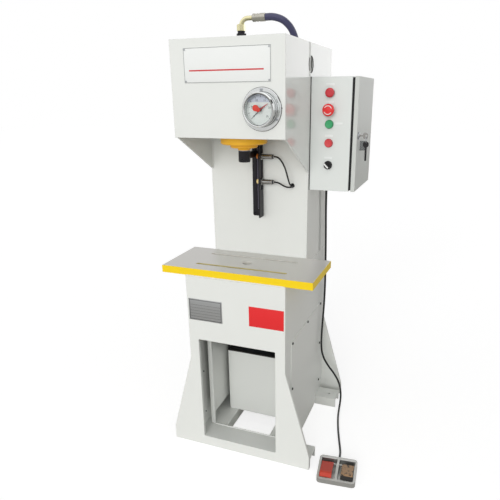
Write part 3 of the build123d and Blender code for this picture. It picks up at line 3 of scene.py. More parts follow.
import bpy
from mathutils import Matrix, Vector


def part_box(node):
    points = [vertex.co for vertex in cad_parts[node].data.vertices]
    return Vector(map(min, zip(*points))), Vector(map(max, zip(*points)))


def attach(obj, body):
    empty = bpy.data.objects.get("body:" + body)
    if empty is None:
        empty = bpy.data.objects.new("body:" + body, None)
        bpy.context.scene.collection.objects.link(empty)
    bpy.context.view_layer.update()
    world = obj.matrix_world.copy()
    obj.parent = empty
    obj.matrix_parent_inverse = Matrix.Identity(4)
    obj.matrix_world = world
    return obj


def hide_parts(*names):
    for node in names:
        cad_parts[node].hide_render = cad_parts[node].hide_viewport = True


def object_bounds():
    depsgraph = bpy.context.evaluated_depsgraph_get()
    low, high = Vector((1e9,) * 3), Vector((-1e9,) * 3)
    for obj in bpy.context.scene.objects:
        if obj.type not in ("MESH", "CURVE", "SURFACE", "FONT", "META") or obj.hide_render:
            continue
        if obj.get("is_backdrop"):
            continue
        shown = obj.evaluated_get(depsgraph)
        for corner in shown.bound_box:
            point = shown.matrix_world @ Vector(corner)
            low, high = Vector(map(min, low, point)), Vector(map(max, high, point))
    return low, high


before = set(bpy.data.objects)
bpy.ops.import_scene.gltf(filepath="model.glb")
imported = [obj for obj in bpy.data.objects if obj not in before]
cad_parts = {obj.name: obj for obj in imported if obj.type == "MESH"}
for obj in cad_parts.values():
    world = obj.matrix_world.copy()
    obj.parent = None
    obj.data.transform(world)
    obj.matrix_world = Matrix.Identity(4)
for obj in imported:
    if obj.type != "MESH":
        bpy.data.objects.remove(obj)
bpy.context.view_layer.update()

# Painted plate work
# The head, column and base are flame-cut plate, welded, ground and powder coated in one off-white grey.
# The coat is semi-gloss, with slight orange peel and soft rounded edges.


def linear(code):
    """sRGB hex code as linear RGBA."""
    rgb = [int(code[i : i + 2], 16) / 255 for i in (1, 3, 5)]
    return [c / 12.92 if c < 0.04045 else ((c + 0.055) / 1.055) ** 2.4 for c in rgb] + [1.0]


def add(tree, kind, inputs=None, **settings):
    """New shader node. Each input, by name or number, gets a value, or a link if an output is given."""
    made = tree.nodes.new("ShaderNode" + kind)
    for name, value in settings.items():
        setattr(made, name, value)
    for socket, value in (inputs or {}).items():
        if isinstance(value, bpy.types.NodeSocket):
            tree.links.new(value, made.inputs[socket])
        else:
            made.inputs[socket].default_value = value
    return made


def surface(
    name,
    code,
    rough,
    metal=0.0,
    mottle=0.02,
    grain=2.0,
    depth=0.02,
    edge=0.8,
    stretch=(1, 1, 1),
    coat=0.0,
    blur=0.06,
):
    """Material in object coordinates.

    Millimetres: grain and depth are the relief's size and height, edge is the radius of worn edges.
    Shares: mottle is the drift of the colour, coat and blur are the lacquer's weight and roughness.
    """
    clouds_per_metre, rough_drift, relief_strength = 7.0, 0.04, 0.6
    noise_low, noise_high = 0.3, 0.7
    made = bpy.data.materials.new(name)
    made.use_nodes = True
    tree = made.node_tree
    shader = tree.nodes["Principled BSDF"]
    shader.inputs["Metallic"].default_value = metal
    shader.inputs["Coat Weight"].default_value = coat
    shader.inputs["Coat Roughness"].default_value = blur
    place = add(tree, "TexCoord").outputs["Object"]
    drawn = add(tree, "Mapping", {"Vector": place, "Scale": stretch}).outputs["Vector"]
    cloud = add(tree, "TexNoise", {"Vector": place, "Scale": clouds_per_metre, "Detail": 3.0}).outputs["Fac"]
    fine = add(tree, "TexNoise", {"Vector": drawn, "Scale": 1000 / grain, "Detail": 2.0}).outputs["Fac"]
    base = linear(code)[:3]
    dark = [c * (1 - mottle) for c in base] + [1.0]
    light = [min(c * (1 + mottle), 1.0) for c in base] + [1.0]
    tone = add(tree, "MixRGB", {"Fac": cloud, "Color1": dark, "Color2": light})
    sheen = add(
        tree,
        "MapRange",
        {
            "Value": fine,
            "From Min": noise_low,
            "From Max": noise_high,
            "To Min": rough - rough_drift,
            "To Max": rough + rough_drift,
        },
    )
    rounded = add(tree, "Bevel", {"Radius": edge / 1000}, samples=4).outputs["Normal"]
    relief = add(
        tree,
        "Bump",
        {"Strength": relief_strength, "Distance": depth / 1000, "Height": fine, "Normal": rounded},
    )
    tree.links.new(tone.outputs["Color"], shader.inputs["Base Color"])
    tree.links.new(sheen.outputs["Result"], shader.inputs["Roughness"])
    tree.links.new(relief.outputs["Normal"], shader.inputs["Normal"])
    tree.links.new(relief.outputs["Normal"], shader.inputs["Coat Normal"])
    return made


def dress(material, *names):
    """Gives CAD nodes this material through their slots."""
    for name in names:
        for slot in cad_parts[name].material_slots:
            slot.material = material


# Powder coat, off-white grey: a clear sheen over slight orange peel
coat_code = "#DFE1DD"
grey_coat = surface("powder coat off-white grey", coat_code, 0.45, grain=2.5, depth=0.012, edge=1.2, coat=1.0)
dress(
    grey_coat,
    "column_back_plate",
    "column_sides",
    "column_front_plate",
    "head_front_plate",
    "head_sides",
    "top_plate",
    "head_floor_plate",
)
# The same powder coat, duller where boots and pallets rub the base
base_coat = surface(
    "powder coat off-white grey dulled", coat_code, 0.5, grain=2.5, edge=1.2, coat=0.8, blur=0.28
)
dress(base_coat, "base_rails", "base_front_plate", "base_sides", "inner_stiffeners", "side_covers")

# Weld beads
# The plates are joined by fillet welds in the inner corners, brushed and painted over with the frame.
# Each bead is a rippled tube sunk into its corner.


def select_only(obj):
    """Selects one object and makes it active."""
    bpy.ops.object.select_all(action="DESELECT")
    obj.select_set(True)
    bpy.context.view_layer.objects.active = obj


def pick(obj, kind, test):
    """Edit mode with the vertices, edges or faces that pass the test selected."""
    select_only(obj)
    bpy.ops.object.mode_set(mode="EDIT")
    bpy.ops.mesh.select_mode(type=kind)
    bpy.ops.mesh.select_all(action="DESELECT")
    bpy.ops.object.mode_set(mode="OBJECT")
    for element in {"VERT": obj.data.vertices, "EDGE": obj.data.edges, "FACE": obj.data.polygons}[kind]:
        element.select = test(element)
    bpy.ops.object.mode_set(mode="EDIT")


def settle(obj, name, material, body="frame", smooth=35):
    """Finishes a modelled piece: modifiers and transforms applied, one material, riding on its CAD body."""
    select_only(obj)
    for modifier in list(obj.modifiers):
        bpy.ops.object.modifier_apply(modifier=modifier.name)
    bpy.ops.object.transform_apply(location=True, rotation=True, scale=True)
    obj.name = name
    obj.data.materials.clear()
    obj.data.materials.append(material)
    bpy.ops.object.shade_smooth_by_angle(angle=math.radians(smooth))
    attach(obj, body)


def join(pieces):
    """Joins pieces into the first one."""
    select_only(pieces[0])
    for piece in pieces:
        piece.select_set(True)
    bpy.ops.object.join()
    return bpy.context.active_object


def bead(start, end):
    """One run of weld: a tube whose rings swell and shrink by turns."""
    radius, ring_pitch, ripple_pitch, ripple_share = 0.003, 0.006, 0.012, 0.14
    start, end = Vector(start), Vector(end)
    length = (end - start).length
    bpy.ops.mesh.primitive_cylinder_add(vertices=8, radius=radius, depth=length)
    made = bpy.context.active_object
    ends = [vertex.co.z for vertex in made.data.vertices]
    pick(made, "EDGE", lambda edge: ends[edge.vertices[0]] * ends[edge.vertices[1]] < 0)
    bpy.ops.mesh.subdivide(number_cuts=max(int(length / ring_pitch), 4))
    bpy.ops.object.mode_set(mode="OBJECT")
    for vertex in made.data.vertices:
        swell = 1 + ripple_share * math.cos(vertex.co.z / ripple_pitch * 2 * math.pi)
        vertex.co.x *= swell
        vertex.co.y *= swell
    made.location = (start + end) / 2
    made.rotation_euler = (end - start).to_track_quat("Z", "Y").to_euler()
    return made


head_low, head_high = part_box("head_front_plate")
gusset_low, gusset_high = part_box("head_sides")
column_low, column_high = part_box("column_front_plate")
table_low, table_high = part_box("work_table")
box_low, box_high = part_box("control_box")
stiffener_low, stiffener_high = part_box("inner_stiffeners")
rail_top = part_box("base_rails")[1][2]
head_y, column_y = head_low[1], column_low[1]
column_x = column_high[0]
table_side_x, table_back_x, table_front_x, rail_x = 0.205, 0.198, 0.196, 0.155
runs = []
for side in (-1, 1):
    x, under_x, seam_x = side * column_x, side * table_side_x, side * head_high[0]
    runs += [
        ((x, column_y, gusset_low[2] + 0.01), (x, column_y, head_low[2])),
        ((x, head_y + 0.015, head_low[2]), (x, column_y, head_low[2])),
        ((under_x, table_low[1] + 0.01, table_low[2]), (under_x, column_y - 0.004, table_low[2])),
        ((seam_x, gusset_high[1], box_high[2]), (seam_x, gusset_high[1], head_high[2] - 0.001)),
    ]
for x, y, z in (
    (column_x, column_y, head_low[2]),
    (rail_x, stiffener_low[1], rail_top),
    (table_back_x, column_y, table_high[2]),
    (table_front_x, table_low[1], table_low[2] - 0.001),
):
    runs.append(((-x, y, z), (x, y, z)))
settle(join([bead(start, end) for start, end in runs]), "weld_beads", grey_coat, smooth=60)

# Front edges of the inner stiffeners
# A flat steel bar is welded along the front edge of each stiffener plate and painted with it.
# It shows as a pale upright strip in the base opening.


def slab(low, high, bevel=0.0):
    """Box between two corners with bevelled edges."""
    low, high = Vector(low), Vector(high)
    bpy.ops.mesh.primitive_cube_add(size=1, location=(low + high) / 2)
    made = bpy.context.active_object
    made.scale = high - low
    bpy.ops.object.transform_apply(location=False, rotation=False, scale=True)
    if bevel:
        softened = made.modifiers.new("edges", "BEVEL")
        softened.width = bevel
        softened.segments = 2
    return made


bar_x, bar_half = 0.162, 0.009
bar_front, bar_back = stiffener_low[1] - 0.0018, stiffener_low[1] + 0.0002
bar_bottom, bar_top = rail_top + 0.002, stiffener_high[2] - 0.001
bars = [
    slab((x - bar_half, bar_front, bar_bottom), (x + bar_half, bar_back, bar_top)) for x in (-bar_x, bar_x)
]
settle(join(bars), "stiffener_edge_bars", base_coat)

# Name plate on the head
# Painted aluminium sheet with a printed border line and a red stripe, held by four small screws.
# The field is bare.


def thin_sheet(across, up, wall, thickness, bevel=0.0):
    """Sheet between two x and two z, on a wall that faces -Y."""
    return slab((across[0], wall - thickness, up[0]), (across[1], wall, up[1]), bevel)


def border(across, up, wall, inset, width):
    """Printed rectangle of four thin bars on a wall that faces -Y."""
    x0, x1 = across[0] + inset, across[1] - inset
    z0, z1 = up[0] + inset, up[1] - inset
    return join(
        [
            thin_sheet((x0, x1), (z0, z0 + width), wall, ink),
            thin_sheet((x0, x1), (z1 - width, z1), wall, ink),
            thin_sheet((x0, x0 + width), (z0 + width, z1 - width), wall, ink),
            thin_sheet((x1 - width, x1), (z0 + width, z1 - width), wall, ink),
        ]
    )


def drum(start, end, radius, vertices=32):
    """Cylinder between two points."""
    start, end = Vector(start), Vector(end)
    bpy.ops.mesh.primitive_cylinder_add(
        vertices=vertices, radius=radius, depth=(end - start).length, location=(start + end) / 2
    )
    made = bpy.context.active_object
    made.rotation_euler = (end - start).to_track_quat("Z", "Y").to_euler()
    return made


def screw(at, out, radius, height):
    """Round screw head standing out along out, with a sunk socket."""
    at, out = Vector(at), Vector(out)
    made = drum(at, at + out * height, radius, vertices=24)
    select_only(made)
    rim = made.modifiers.new("rim", "BEVEL")
    rim.width = min(height, radius) * 0.25
    rim.segments = 2
    rim.angle_limit = math.radians(60)
    bpy.ops.object.modifier_apply(modifier=rim.name)
    top = max(face.center.z for face in made.data.polygons)
    pick(made, "FACE", lambda face: face.center.z > top - 1e-6)
    bpy.ops.mesh.inset(thickness=radius * 0.4, depth=0)
    bpy.ops.mesh.inset(thickness=radius * 0.02, depth=-height * 0.5)
    bpy.ops.object.mode_set(mode="OBJECT")
    return made


def corner_screws(across, up, wall, inset, radius, height):
    """Four screws in the corners of a sheet."""
    return join(
        [
            screw((x, wall, z), (0, -1, 0), radius, height)
            for x in (across[0] + inset, across[1] - inset)
            for z in (up[0] + inset, up[1] - inset)
        ]
    )


# Printed aluminium, white: even and half matt
plate_white = surface("printed aluminium sheet white", "#E6E8E6", 0.45, grain=1.2, depth=0.004, edge=0.3)
# Screen print, warm grey and signal red: thin flat ink
line_grey = surface("screen print grey", "#7C7F7D", 0.5, grain=1.0, depth=0.002, edge=0.1)
stripe_red = surface("screen print signal red", "#C9393B", 0.45, grain=1.0, depth=0.002, edge=0.1)
# Zinc plated steel: bright with a soft haze
zinc = surface("zinc plated steel", "#B9BCC0", 0.32, metal=1.0, grain=0.8, depth=0.01, edge=0.3)
ink = 0.0002
name_across, name_up, name_thick = (-0.149, 0.154), (1.442, 1.549), 0.0012
name_face = head_y - name_thick
name_plate = thin_sheet(name_across, name_up, head_y, name_thick, bevel=0.0004)
settle(name_plate, "name_plate", plate_white)
name_border = border(name_across, name_up, name_face, inset=0.0012, width=0.0014)
settle(name_border, "name_plate_border", line_grey)
name_stripe = thin_sheet((-0.130, 0.130), (1.4778, 1.4821), name_face, ink)
settle(name_stripe, "name_plate_stripe", stripe_red)
plate_screws = corner_screws(name_across, name_up, name_face, inset=0.006, radius=0.0028, height=0.0014)
settle(plate_screws, "name_plate_screws", zinc)

# Data plate and instruction plate on the base
# Two thin sheets side by side: brushed metal with a dark printed frame and rules, and plain red.
# Both fields are bare.

# Brushed aluminium: fine streaks along the sheet
streaks = (0.04, 1, 1)
brushed = surface(
    "brushed aluminium sheet", "#C3C5C6", 0.34, metal=1.0, grain=1.0, depth=0.01, edge=0.2, stretch=streaks
)
# Printed sheet, red, and dark screen print: flat and half matt
plate_red = surface("printed sheet red", "#DC2226", 0.5, grain=1.0, depth=0.003, edge=0.2)
line_dark = surface("screen print dark", "#2B2C30", 0.5, grain=1.0, depth=0.002, edge=0.1)
base_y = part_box("base_front_plate")[0][1]
sheet_thick, sheet_bevel = 0.001, 0.0003
data_across, data_up = (-0.193, -0.052), (0.584, 0.673)
data_face = base_y - sheet_thick
data_plate = thin_sheet(data_across, data_up, base_y, sheet_thick, sheet_bevel)
settle(data_plate, "data_plate", brushed)
data_border = border(data_across, data_up, data_face, inset=0.004, width=0.0016)
settle(data_border, "data_plate_border", line_dark)
rule_across, rule_width = (data_across[0] + 0.007, data_across[1] - 0.007), 0.0007
rule_heights = [0.6 + 0.012 * k for k in range(5)]
data_rules = [thin_sheet(rule_across, (z, z + rule_width), data_face, ink) for z in rule_heights]
settle(join(data_rules), "data_plate_rules", line_dark)
data_rivets = corner_screws(data_across, data_up, data_face, inset=0.0025, radius=0.0022, height=0.0012)
settle(data_rivets, "data_plate_rivets", zinc)
instruction_plate = thin_sheet((0.058, 0.195), (0.593, 0.673), base_y, sheet_thick, sheet_bevel)
settle(instruction_plate, "instruction_plate", plate_red)

# Side covers
# Thin sheets over the base windows, each held by seven pan-head screws whose ends show inside.
# The screws stand in the cover's own hole pattern.

# Blackened steel: dark with a dull shine
dark_steel = surface("blackened steel", "#2A2B2E", 0.4, metal=0.8, grain=0.6, depth=0.01, edge=0.3)
cover_low, cover_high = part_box("side_covers")
cover_rows, cover_inset, screw_end_x = (0.504, 0.303, 0.104), 0.012, 0.19
cover_spots = [(y, z) for y in (cover_low[1] + cover_inset, cover_high[1] - cover_inset) for z in cover_rows]
cover_spots.append(((cover_low[1] + cover_high[1]) / 2, cover_rows[0]))
cover_screws = []
for side in (-1, 1):
    for y, z in cover_spots:
        seat = (side * cover_high[0], y, z)
        cover_screws.append(screw(seat, (side, 0, 0), radius=0.0052, height=0.003))
        cover_screws.append(drum(seat, (side * screw_end_x, y, z), radius=0.0024, vertices=12))
settle(join(cover_screws), "cover_screws", dark_steel)

# Work table
# Thick plate welded on the base: the top is surface ground and oiled, the edges are painted safety yellow.
# The paint has run into the front clamping slot; the rear slot and the bore are bare.


def looks_up(tree):
    """1 on faces that look up, 0 elsewhere."""
    facing = add(tree, "NewGeometry").outputs["True Normal"]
    height = add(tree, "SeparateXYZ", {"Vector": facing}).outputs["Z"]
    return add(tree, "Math", {0: height, 1: 0.9}, operation="GREATER_THAN").outputs["Value"]


def band(tree, axis, low, high):
    """1 where one object coordinate lies between two values, 0 elsewhere."""
    place = add(tree, "TexCoord").outputs["Object"]
    along = add(tree, "SeparateXYZ", {"Vector": place}).outputs[axis]
    limits = {0: along, 1: (low + high) / 2, 2: (high - low) / 2}
    return add(tree, "Math", limits, operation="COMPARE").outputs["Value"]


def rectangle(tree, across, along):
    """1 inside a rectangle seen from above, 0 elsewhere."""
    sides = {0: band(tree, "X", *across), 1: band(tree, "Y", *along)}
    return add(tree, "Math", sides, operation="MULTIPLY").outputs["Value"]


def repaint(material, mask, code, metal=None):
    """Lays a second colour over the first where the mask is 1."""
    tree = material.node_tree
    shader = tree.nodes["Principled BSDF"]
    under = shader.inputs["Base Color"].links[0].from_socket
    laid = add(tree, "MixRGB", {"Fac": mask, "Color1": under, "Color2": linear(code)})
    tree.links.new(laid.outputs["Color"], shader.inputs["Base Color"])
    if metal is not None:
        bare = shader.inputs["Metallic"].default_value
        share = add(tree, "MapRange", {"Value": mask, "To Min": bare, "To Max": metal})
        tree.links.new(share.outputs["Result"], shader.inputs["Metallic"])


# Safety yellow enamel on the edges, ground steel with long fine scratches above
enamel_rough, ground_rough = 0.45, 0.33
scratches = (0.05, 1, 1)
table_coat = surface("ground steel top with yellow edges", "#F0CE00", enamel_rough, stretch=scratches)
tree = table_coat.node_tree
ground_top = looks_up(tree)
bare_holes = rectangle(tree, across=(-0.199, 0.199), along=(-0.19, -0.05))
painted_slot = rectangle(tree, across=(-0.19, 0.19), along=(-0.22, -0.19))
repaint(table_coat, bare_holes, "#D2D0C8")
repaint(table_coat, painted_slot, "#C9BD85")
repaint(table_coat, ground_top, "#CBC9C5", metal=0.85)
table_rough = add(tree, "MapRange", {"Value": ground_top, "To Min": enamel_rough, "To Max": ground_rough})
tree.links.new(table_rough.outputs["Result"], tree.nodes["Principled BSDF"].inputs["Roughness"])
dress(table_coat, "work_table")

# Cylinder, rod and collar
# The turned flange is enamelled yellow, the rod hard chromed, the collar and its arm blackened.
# Six socket screws hold the flange against the head floor, and a grub screw holds the collar on the rod.

# Safety yellow enamel: warm and half gloss
yellow_coat = surface("enamel safety yellow", "#F6B81E", 0.38, edge=1.0, coat=0.15)
# Hard chrome: a bright mirror
chrome = surface("hard chrome", "#D8DADC", 0.08, metal=1.0, grain=0.4, depth=0.001, edge=0.3)
# Machined steel: grey with fine tool marks
steel = surface("machined steel", "#8E9196", 0.35, metal=1.0, grain=0.7, depth=0.01, edge=0.4)
# Black oxide: satin, nearly black
black_steel = surface("black oxide steel", "#1E1D22", 0.42, metal=0.35, grain=1.2, depth=0.015, edge=0.7)
dress(yellow_coat, "cylinder_flange")
dress(chrome, "piston_rod")
dress(steel, "cylinder_barrel", "gear_pump")
dress(black_steel, "ram_collar", "guide_bracket", "port_adaptor")
ram_y, bolt_circle = -0.140, 0.067
flange_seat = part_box("cylinder_flange")[0][2] + 0.0305
flange_screws = []
for k in range(6):
    turn = math.radians(60 * k)
    spot = (bolt_circle * math.cos(turn), ram_y + bolt_circle * math.sin(turn), flange_seat)
    flange_screws.append(screw(spot, (0, 0, -1), radius=0.0066, height=0.0075))
settle(join(flange_screws), "flange_screws", dark_steel)
collar_front, grub_z = ram_y - 0.021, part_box("ram_collar")[0][2] + 0.011
grub = screw((0, collar_front, grub_z), (0, -1, 0), radius=0.0038, height=0.0016)
settle(grub, "collar_screw", dark_steel, body="ram")

# Guide bracket screws
# Three button-head screws hold the slotted angle on the column front.
# A bluish grey strip on the column, seen through the guide slot, is painted shade in the slot.

# Painted shade in the guide slot: a bluish grey sheet with a dull shine
slot_shade_grey = surface("painted shade in guide slot, bluish grey", "#6E6A78", 0.4, metal=0.6, grain=0.8, depth=0.01, edge=0.3)
bracket_low, bracket_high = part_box("guide_bracket")
bracket_wall, bracket_inset = 0.005, 0.012
bracket_screws = [
    screw((x, bracket_high[1] - bracket_wall, z), (0, -1, 0), radius=0.0048, height=0.0028)
    for x, z in (
        (-0.014, bracket_high[2] - bracket_inset),
        (0.010, bracket_high[2] - bracket_inset),
        (-0.014, bracket_low[2] + bracket_inset),
    )
]
settle(join(bracket_screws), "bracket_screws", dark_steel)
# The strip behind the slot paints the shade that falls in it
slot_shade_strip = thin_sheet((-0.0043, 0.0043), (0.9812, 1.2148), column_y, thickness=0.0004)
settle(slot_shade_strip, "slot_painted_shade_strip", slot_shade_grey)

# Limit sensors
# Two M18 proximity sensors: nickel plated thread, plastic sensing face and moulded black tail.
# Each is held in the bracket by two nuts.


def ring(x0, x1, y, z, outer, inner, vertices=40):
    """Short tube along X."""
    shell = drum((x0, y, z), (x1, y, z), outer, vertices)
    bore = drum((x0 - 0.001, y, z), (x1 + 0.001, y, z), inner, vertices)
    cut = shell.modifiers.new("bore", "BOOLEAN")
    cut.operation = "DIFFERENCE"
    cut.object = bore
    select_only(shell)
    bpy.ops.object.modifier_apply(modifier=cut.name)
    bpy.data.objects.remove(bore)
    return shell


# Nickel plate: warm silver, nearly a mirror
nickel = surface("nickel plate", "#B2B1AE", 0.2, metal=1.0, grain=0.5, depth=0.004, edge=0.3)
# Moulded plastic, black, orange and cream: even, with a soft shine
black_plastic = surface("moulded plastic black", "#19191B", 0.45, grain=0.8, depth=0.01, edge=0.4)
orange_plastic = surface("moulded plastic orange", "#D87F2C", 0.4, grain=0.8, depth=0.01, edge=0.3)
cream_plastic = surface("moulded plastic cream", "#E8CF8E", 0.4, grain=0.8, depth=0.01, edge=0.3)
dress(nickel, "upper_sensor", "lower_sensor", "sensor_nuts")
sensor_y = -0.030
sensor_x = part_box("upper_sensor")[0][0]
cap_x0, cap_x1 = sensor_x - 0.0002, sensor_x + 0.0084
tail_x0, tail_x1 = sensor_x + 0.0615, sensor_x + 0.0665
ridge_width, ridge_places = 0.0006, [x / 1000 for x in range(27, 64, 2)]
for name, z, face in (("upper", 1.187, orange_plastic), ("lower", 1.092, cream_plastic)):
    cap = drum((cap_x0, sensor_y, z), (cap_x1, sensor_y, z), radius=0.0089, vertices=40)
    rim = cap.modifiers.new("rim", "BEVEL")
    rim.width = 0.0008
    rim.segments = 2
    settle(cap, name + "_sensing_face", face)
    threads = [ring(x, x + ridge_width, sensor_y, z, outer=0.00925, inner=0.0085) for x in ridge_places]
    settle(join(threads), name + "_sensor_thread", nickel, smooth=50)
    tail = ring(tail_x0, tail_x1, sensor_y, z, outer=0.0077, inner=0.004)
    tail.modifiers.new("rim", "BEVEL").width = 0.0006
    settle(tail, name + "_sensor_tail", black_plastic)

# Sensor cables
# Thin PVC cables that sag in front of the column and go in together through a rubber grommet.
# Each leaves its sensor level and enters the grommet square.

# PVC sheath, black: smooth with a soft shine
sheath = surface("PVC sheath black", "#151517", 0.38, grain=0.6, depth=0.004, edge=0.1)
# Moulded rubber, black: dull
rubber = surface("moulded rubber black", "#1B1B1D", 0.6, grain=0.8, edge=0.5)
dress(rubber, "cable_grommet", "cable_boot")


def cord(name, points, diameter, replaced):
    """Round cord on a spline through given points, in millimetres; stands for its CAD tube."""
    line = bpy.data.curves.new(name, "CURVE")
    line.dimensions = "3D"
    line.bevel_depth = diameter / 2000
    line.bevel_resolution = 5
    line.resolution_u = 10
    line.use_fill_caps = True
    spline = line.splines.new("NURBS")
    spline.points.add(len(points) - 1)
    for point, place in zip(spline.points, points):
        point.co = [c / 1000 for c in place] + [1.0]
    spline.order_u = 3
    spline.use_endpoint_u = True
    made = bpy.data.objects.new(name, line)
    bpy.context.scene.collection.objects.link(made)
    made.data.materials.append(sheath)
    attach(made, "frame")
    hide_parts(replaced)


cord(
    "upper_sensor_lead",
    [
        (73.5, -30, 1187),
        (84.5, -30, 1187),
        (99, -36, 1180),
        (113, -42, 1165),
        (124, -45, 1144),
        (131, -45, 1121),
        (135, -41, 1101),
        (137, -31, 1086),
        (137.4, -20, 1081.8),
        (137.4, -12, 1081.8),
    ],
    diameter=6,
    replaced="upper_sensor_cable",
)
cord(
    "lower_sensor_lead",
    [
        (73.5, -30, 1092),
        (84.5, -30, 1092),
        (100, -38, 1089),
        (115, -44, 1083),
        (130, -44, 1077.5),
        (140, -34, 1076.4),
        (142.6, -21, 1076.4),
        (142.6, -12, 1076.4),
    ],
    diameter=6,
    replaced="lower_sensor_cable",
)

# Pressure hose
# Two-layer rubber hose with a smooth dark blue-grey cover, crimped into a zinc plated ferrule.
# It leaves the black cylinder port through a brass-coloured union nut and drops through the top plate.

# Hose cover: dark blue-grey rubber with a faint shine
hose_cover = surface("hose cover blue-grey rubber", "#3C3C5A", 0.4, grain=1.4, depth=0.03, edge=0.2, coat=0.1)
dress(hose_cover, "pressure_hose", "return_hose")
# Passivated zinc: pale yellow on the nut and bend, clear on the ferrule
passivated = surface(
    "zinc plated and passivated", "#E6DFB4", 0.25, metal=1.0, grain=0.8, depth=0.006, edge=0.4
)
ferrule = band(passivated.node_tree, "X", 0.0405, 0.1)
repaint(passivated, ferrule, "#B9B6AC")
dress(passivated, "hose_elbow")

# Pressure gauge
# Polished stainless case with a screwed flange, dial with a plain scale, three hands and a red setting knob.
# A lilac-grey painted reflection of the glass lies over the upper part of the dial and ends in a level line.

# Polished stainless steel: a bright mirror
stainless = surface("polished stainless steel", "#E3E5E5", 0.1, metal=1.0, grain=0.6, depth=0.001, edge=0.5)
dress(stainless, "gauge_case")
# Printed dial, white, with a lilac-grey painted reflection over its upper part
dial_print_and_reflection = surface("printed dial white with painted reflection", "#FBFBF7", 0.5, grain=1.0, depth=0.002, edge=0.2)
# The lilac-grey band is a painted reflection, laid on the dial
dial_painted_reflection = band(dial_print_and_reflection.node_tree, "Z", 1.383, 1.42)
repaint(dial_print_and_reflection, dial_painted_reflection, "#DEDDEA")
dress(dial_print_and_reflection, "gauge_dial")
# Hand enamel, black, green and red: thin and even
hand_black = surface("hand enamel black", "#111113", 0.45, grain=1.0, depth=0.002, edge=0.1)
hand_green = surface("hand enamel green", "#2F7D52", 0.45, grain=1.0, depth=0.002, edge=0.1)
hand_red = surface("hand enamel red", "#C4272B", 0.45, grain=1.0, depth=0.002, edge=0.1)
dress(hand_black, "gauge_pointer")
dress(hand_green, "gauge_low_hand")
dress(hand_red, "gauge_high_hand")
# Moulded plastic, red: glossy
red_plastic = surface("moulded plastic red", "#CE3A2C", 0.3, grain=1.0, depth=0.003, edge=0.4, coat=0.3)
dress(red_plastic, "gauge_knob")
# Float glass: clear, with a mirror share that grows at a slant
glass = bpy.data.materials.new("float glass")
glass.use_nodes = True
tree = glass.node_tree
tree.nodes.remove(tree.nodes["Principled BSDF"])
through = add(tree, "BsdfTransparent", {"Color": linear("#FCFEFE")}).outputs["BSDF"]
mirror = add(tree, "BsdfGlossy", {"Roughness": 0.02}).outputs["BSDF"]
slant = add(tree, "Fresnel", {"IOR": 1.5}).outputs["Fac"]
pane = add(tree, "MixShader", {"Fac": slant, 1: through, 2: mirror})
tree.links.new(pane.outputs["Shader"], tree.nodes["Material Output"].inputs["Surface"])
dress(glass, "gauge_glass")
gauge_x, gauge_z = 0.122, 1.361
print_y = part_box("gauge_dial")[0][1] - 0.0001
scale_sweep, scale_marks, scale_numbers = 264, 50, 5
mark_outer, number_radius = 0.044, 0.0305
ticks = []
for k in range(scale_marks + 1):
    turn = math.radians(scale_sweep * (k / scale_marks - 0.5))
    out = Vector((math.sin(turn), 0, math.cos(turn)))
    mark_inner, mark_width = (0.037, 0.0011) if k % 5 == 0 else (0.04, 0.0005)
    middle = Vector((gauge_x, print_y, gauge_z)) + out * (mark_inner + mark_outer) / 2
    bpy.ops.mesh.primitive_cube_add(size=1, location=middle, rotation=(0, turn, 0))
    mark = bpy.context.active_object
    mark.scale = (mark_width, ink, mark_outer - mark_inner)
    ticks.append(mark)
settle(join(ticks), "dial_scale", hand_black)
numbers = []
for k in range(scale_numbers + 1):
    turn = math.radians(scale_sweep * (k / scale_numbers - 0.5))
    spot = (gauge_x + number_radius * math.sin(turn), print_y, gauge_z + number_radius * math.cos(turn))
    bpy.ops.object.text_add(location=spot, rotation=(math.radians(90), 0, 0))
    number = bpy.context.active_object
    number.data.body = str(5 * k)
    number.data.size = 0.0085
    number.data.align_x = "CENTER"
    number.data.align_y = "CENTER"
    number.data.extrude = 0.00005
    bpy.ops.object.convert(target="MESH")
    numbers.append(bpy.context.active_object)
settle(join(numbers), "dial_numbers", hand_black)
screw_circle, flange_face = 0.059, head_y - 0.004
gauge_screws = []
for degrees in (90, -30, 210):
    turn = math.radians(degrees)
    spot = (gauge_x + screw_circle * math.cos(turn), flange_face, gauge_z + screw_circle * math.sin(turn))
    gauge_screws.append(screw(spot, (0, -1, 0), radius=0.0045, height=0.003))
settle(join(gauge_screws), "gauge_screws", zinc)
pin_y, pin_z = head_y - 0.002, gauge_z + 0.004
pin_x0, pin_x1 = gauge_x + 0.062, gauge_x + 0.0685
gauge_pin = drum((pin_x0, pin_y, pin_z), (pin_x1, pin_y, pin_z), radius=0.0018, vertices=12)
settle(gauge_pin, "gauge_pin", dark_steel)


def hoop(x, y, z, radius, wire, segments):
    """Round wire ring that faces -Y."""
    bpy.ops.mesh.primitive_torus_add(
        major_radius=radius,
        minor_radius=wire,
        major_segments=segments,
        minor_segments=8,
        location=(x, y, z),
        rotation=(math.radians(90), 0, 0),
    )
    return bpy.context.active_object


# Thin dark rings in the rubber material are painted shade: they draw the shadow gaps round the flange, at the
# foot of the bezel and round the glass
bezel_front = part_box("gauge_case")[0][1]
gauge_shade_rings = [
    hoop(gauge_x, y, gauge_z, radius, wire, segments=96)
    for radius, y, wire in (
        (0.0663, head_y - 0.0012, 0.0009),
        (0.0536, head_y - 0.0042, 0.0006),
        (0.0463, bezel_front + 0.0001, 0.0005),
    )
]
settle(join(gauge_shade_rings), "gauge_painted_shade_rings", rubber)

# Control box
# Folded steel box with a hinged door, light grey enamel; the door closes on a foam strip.
# A key stands in the door's lock, and a spare key, a strap and a tag hang from its ring.

# Light grey enamel: semi-gloss
box_coat = surface("enamel light grey", "#DADEDB", 0.45, grain=2.2, depth=0.01, edge=1.0, coat=0.8)
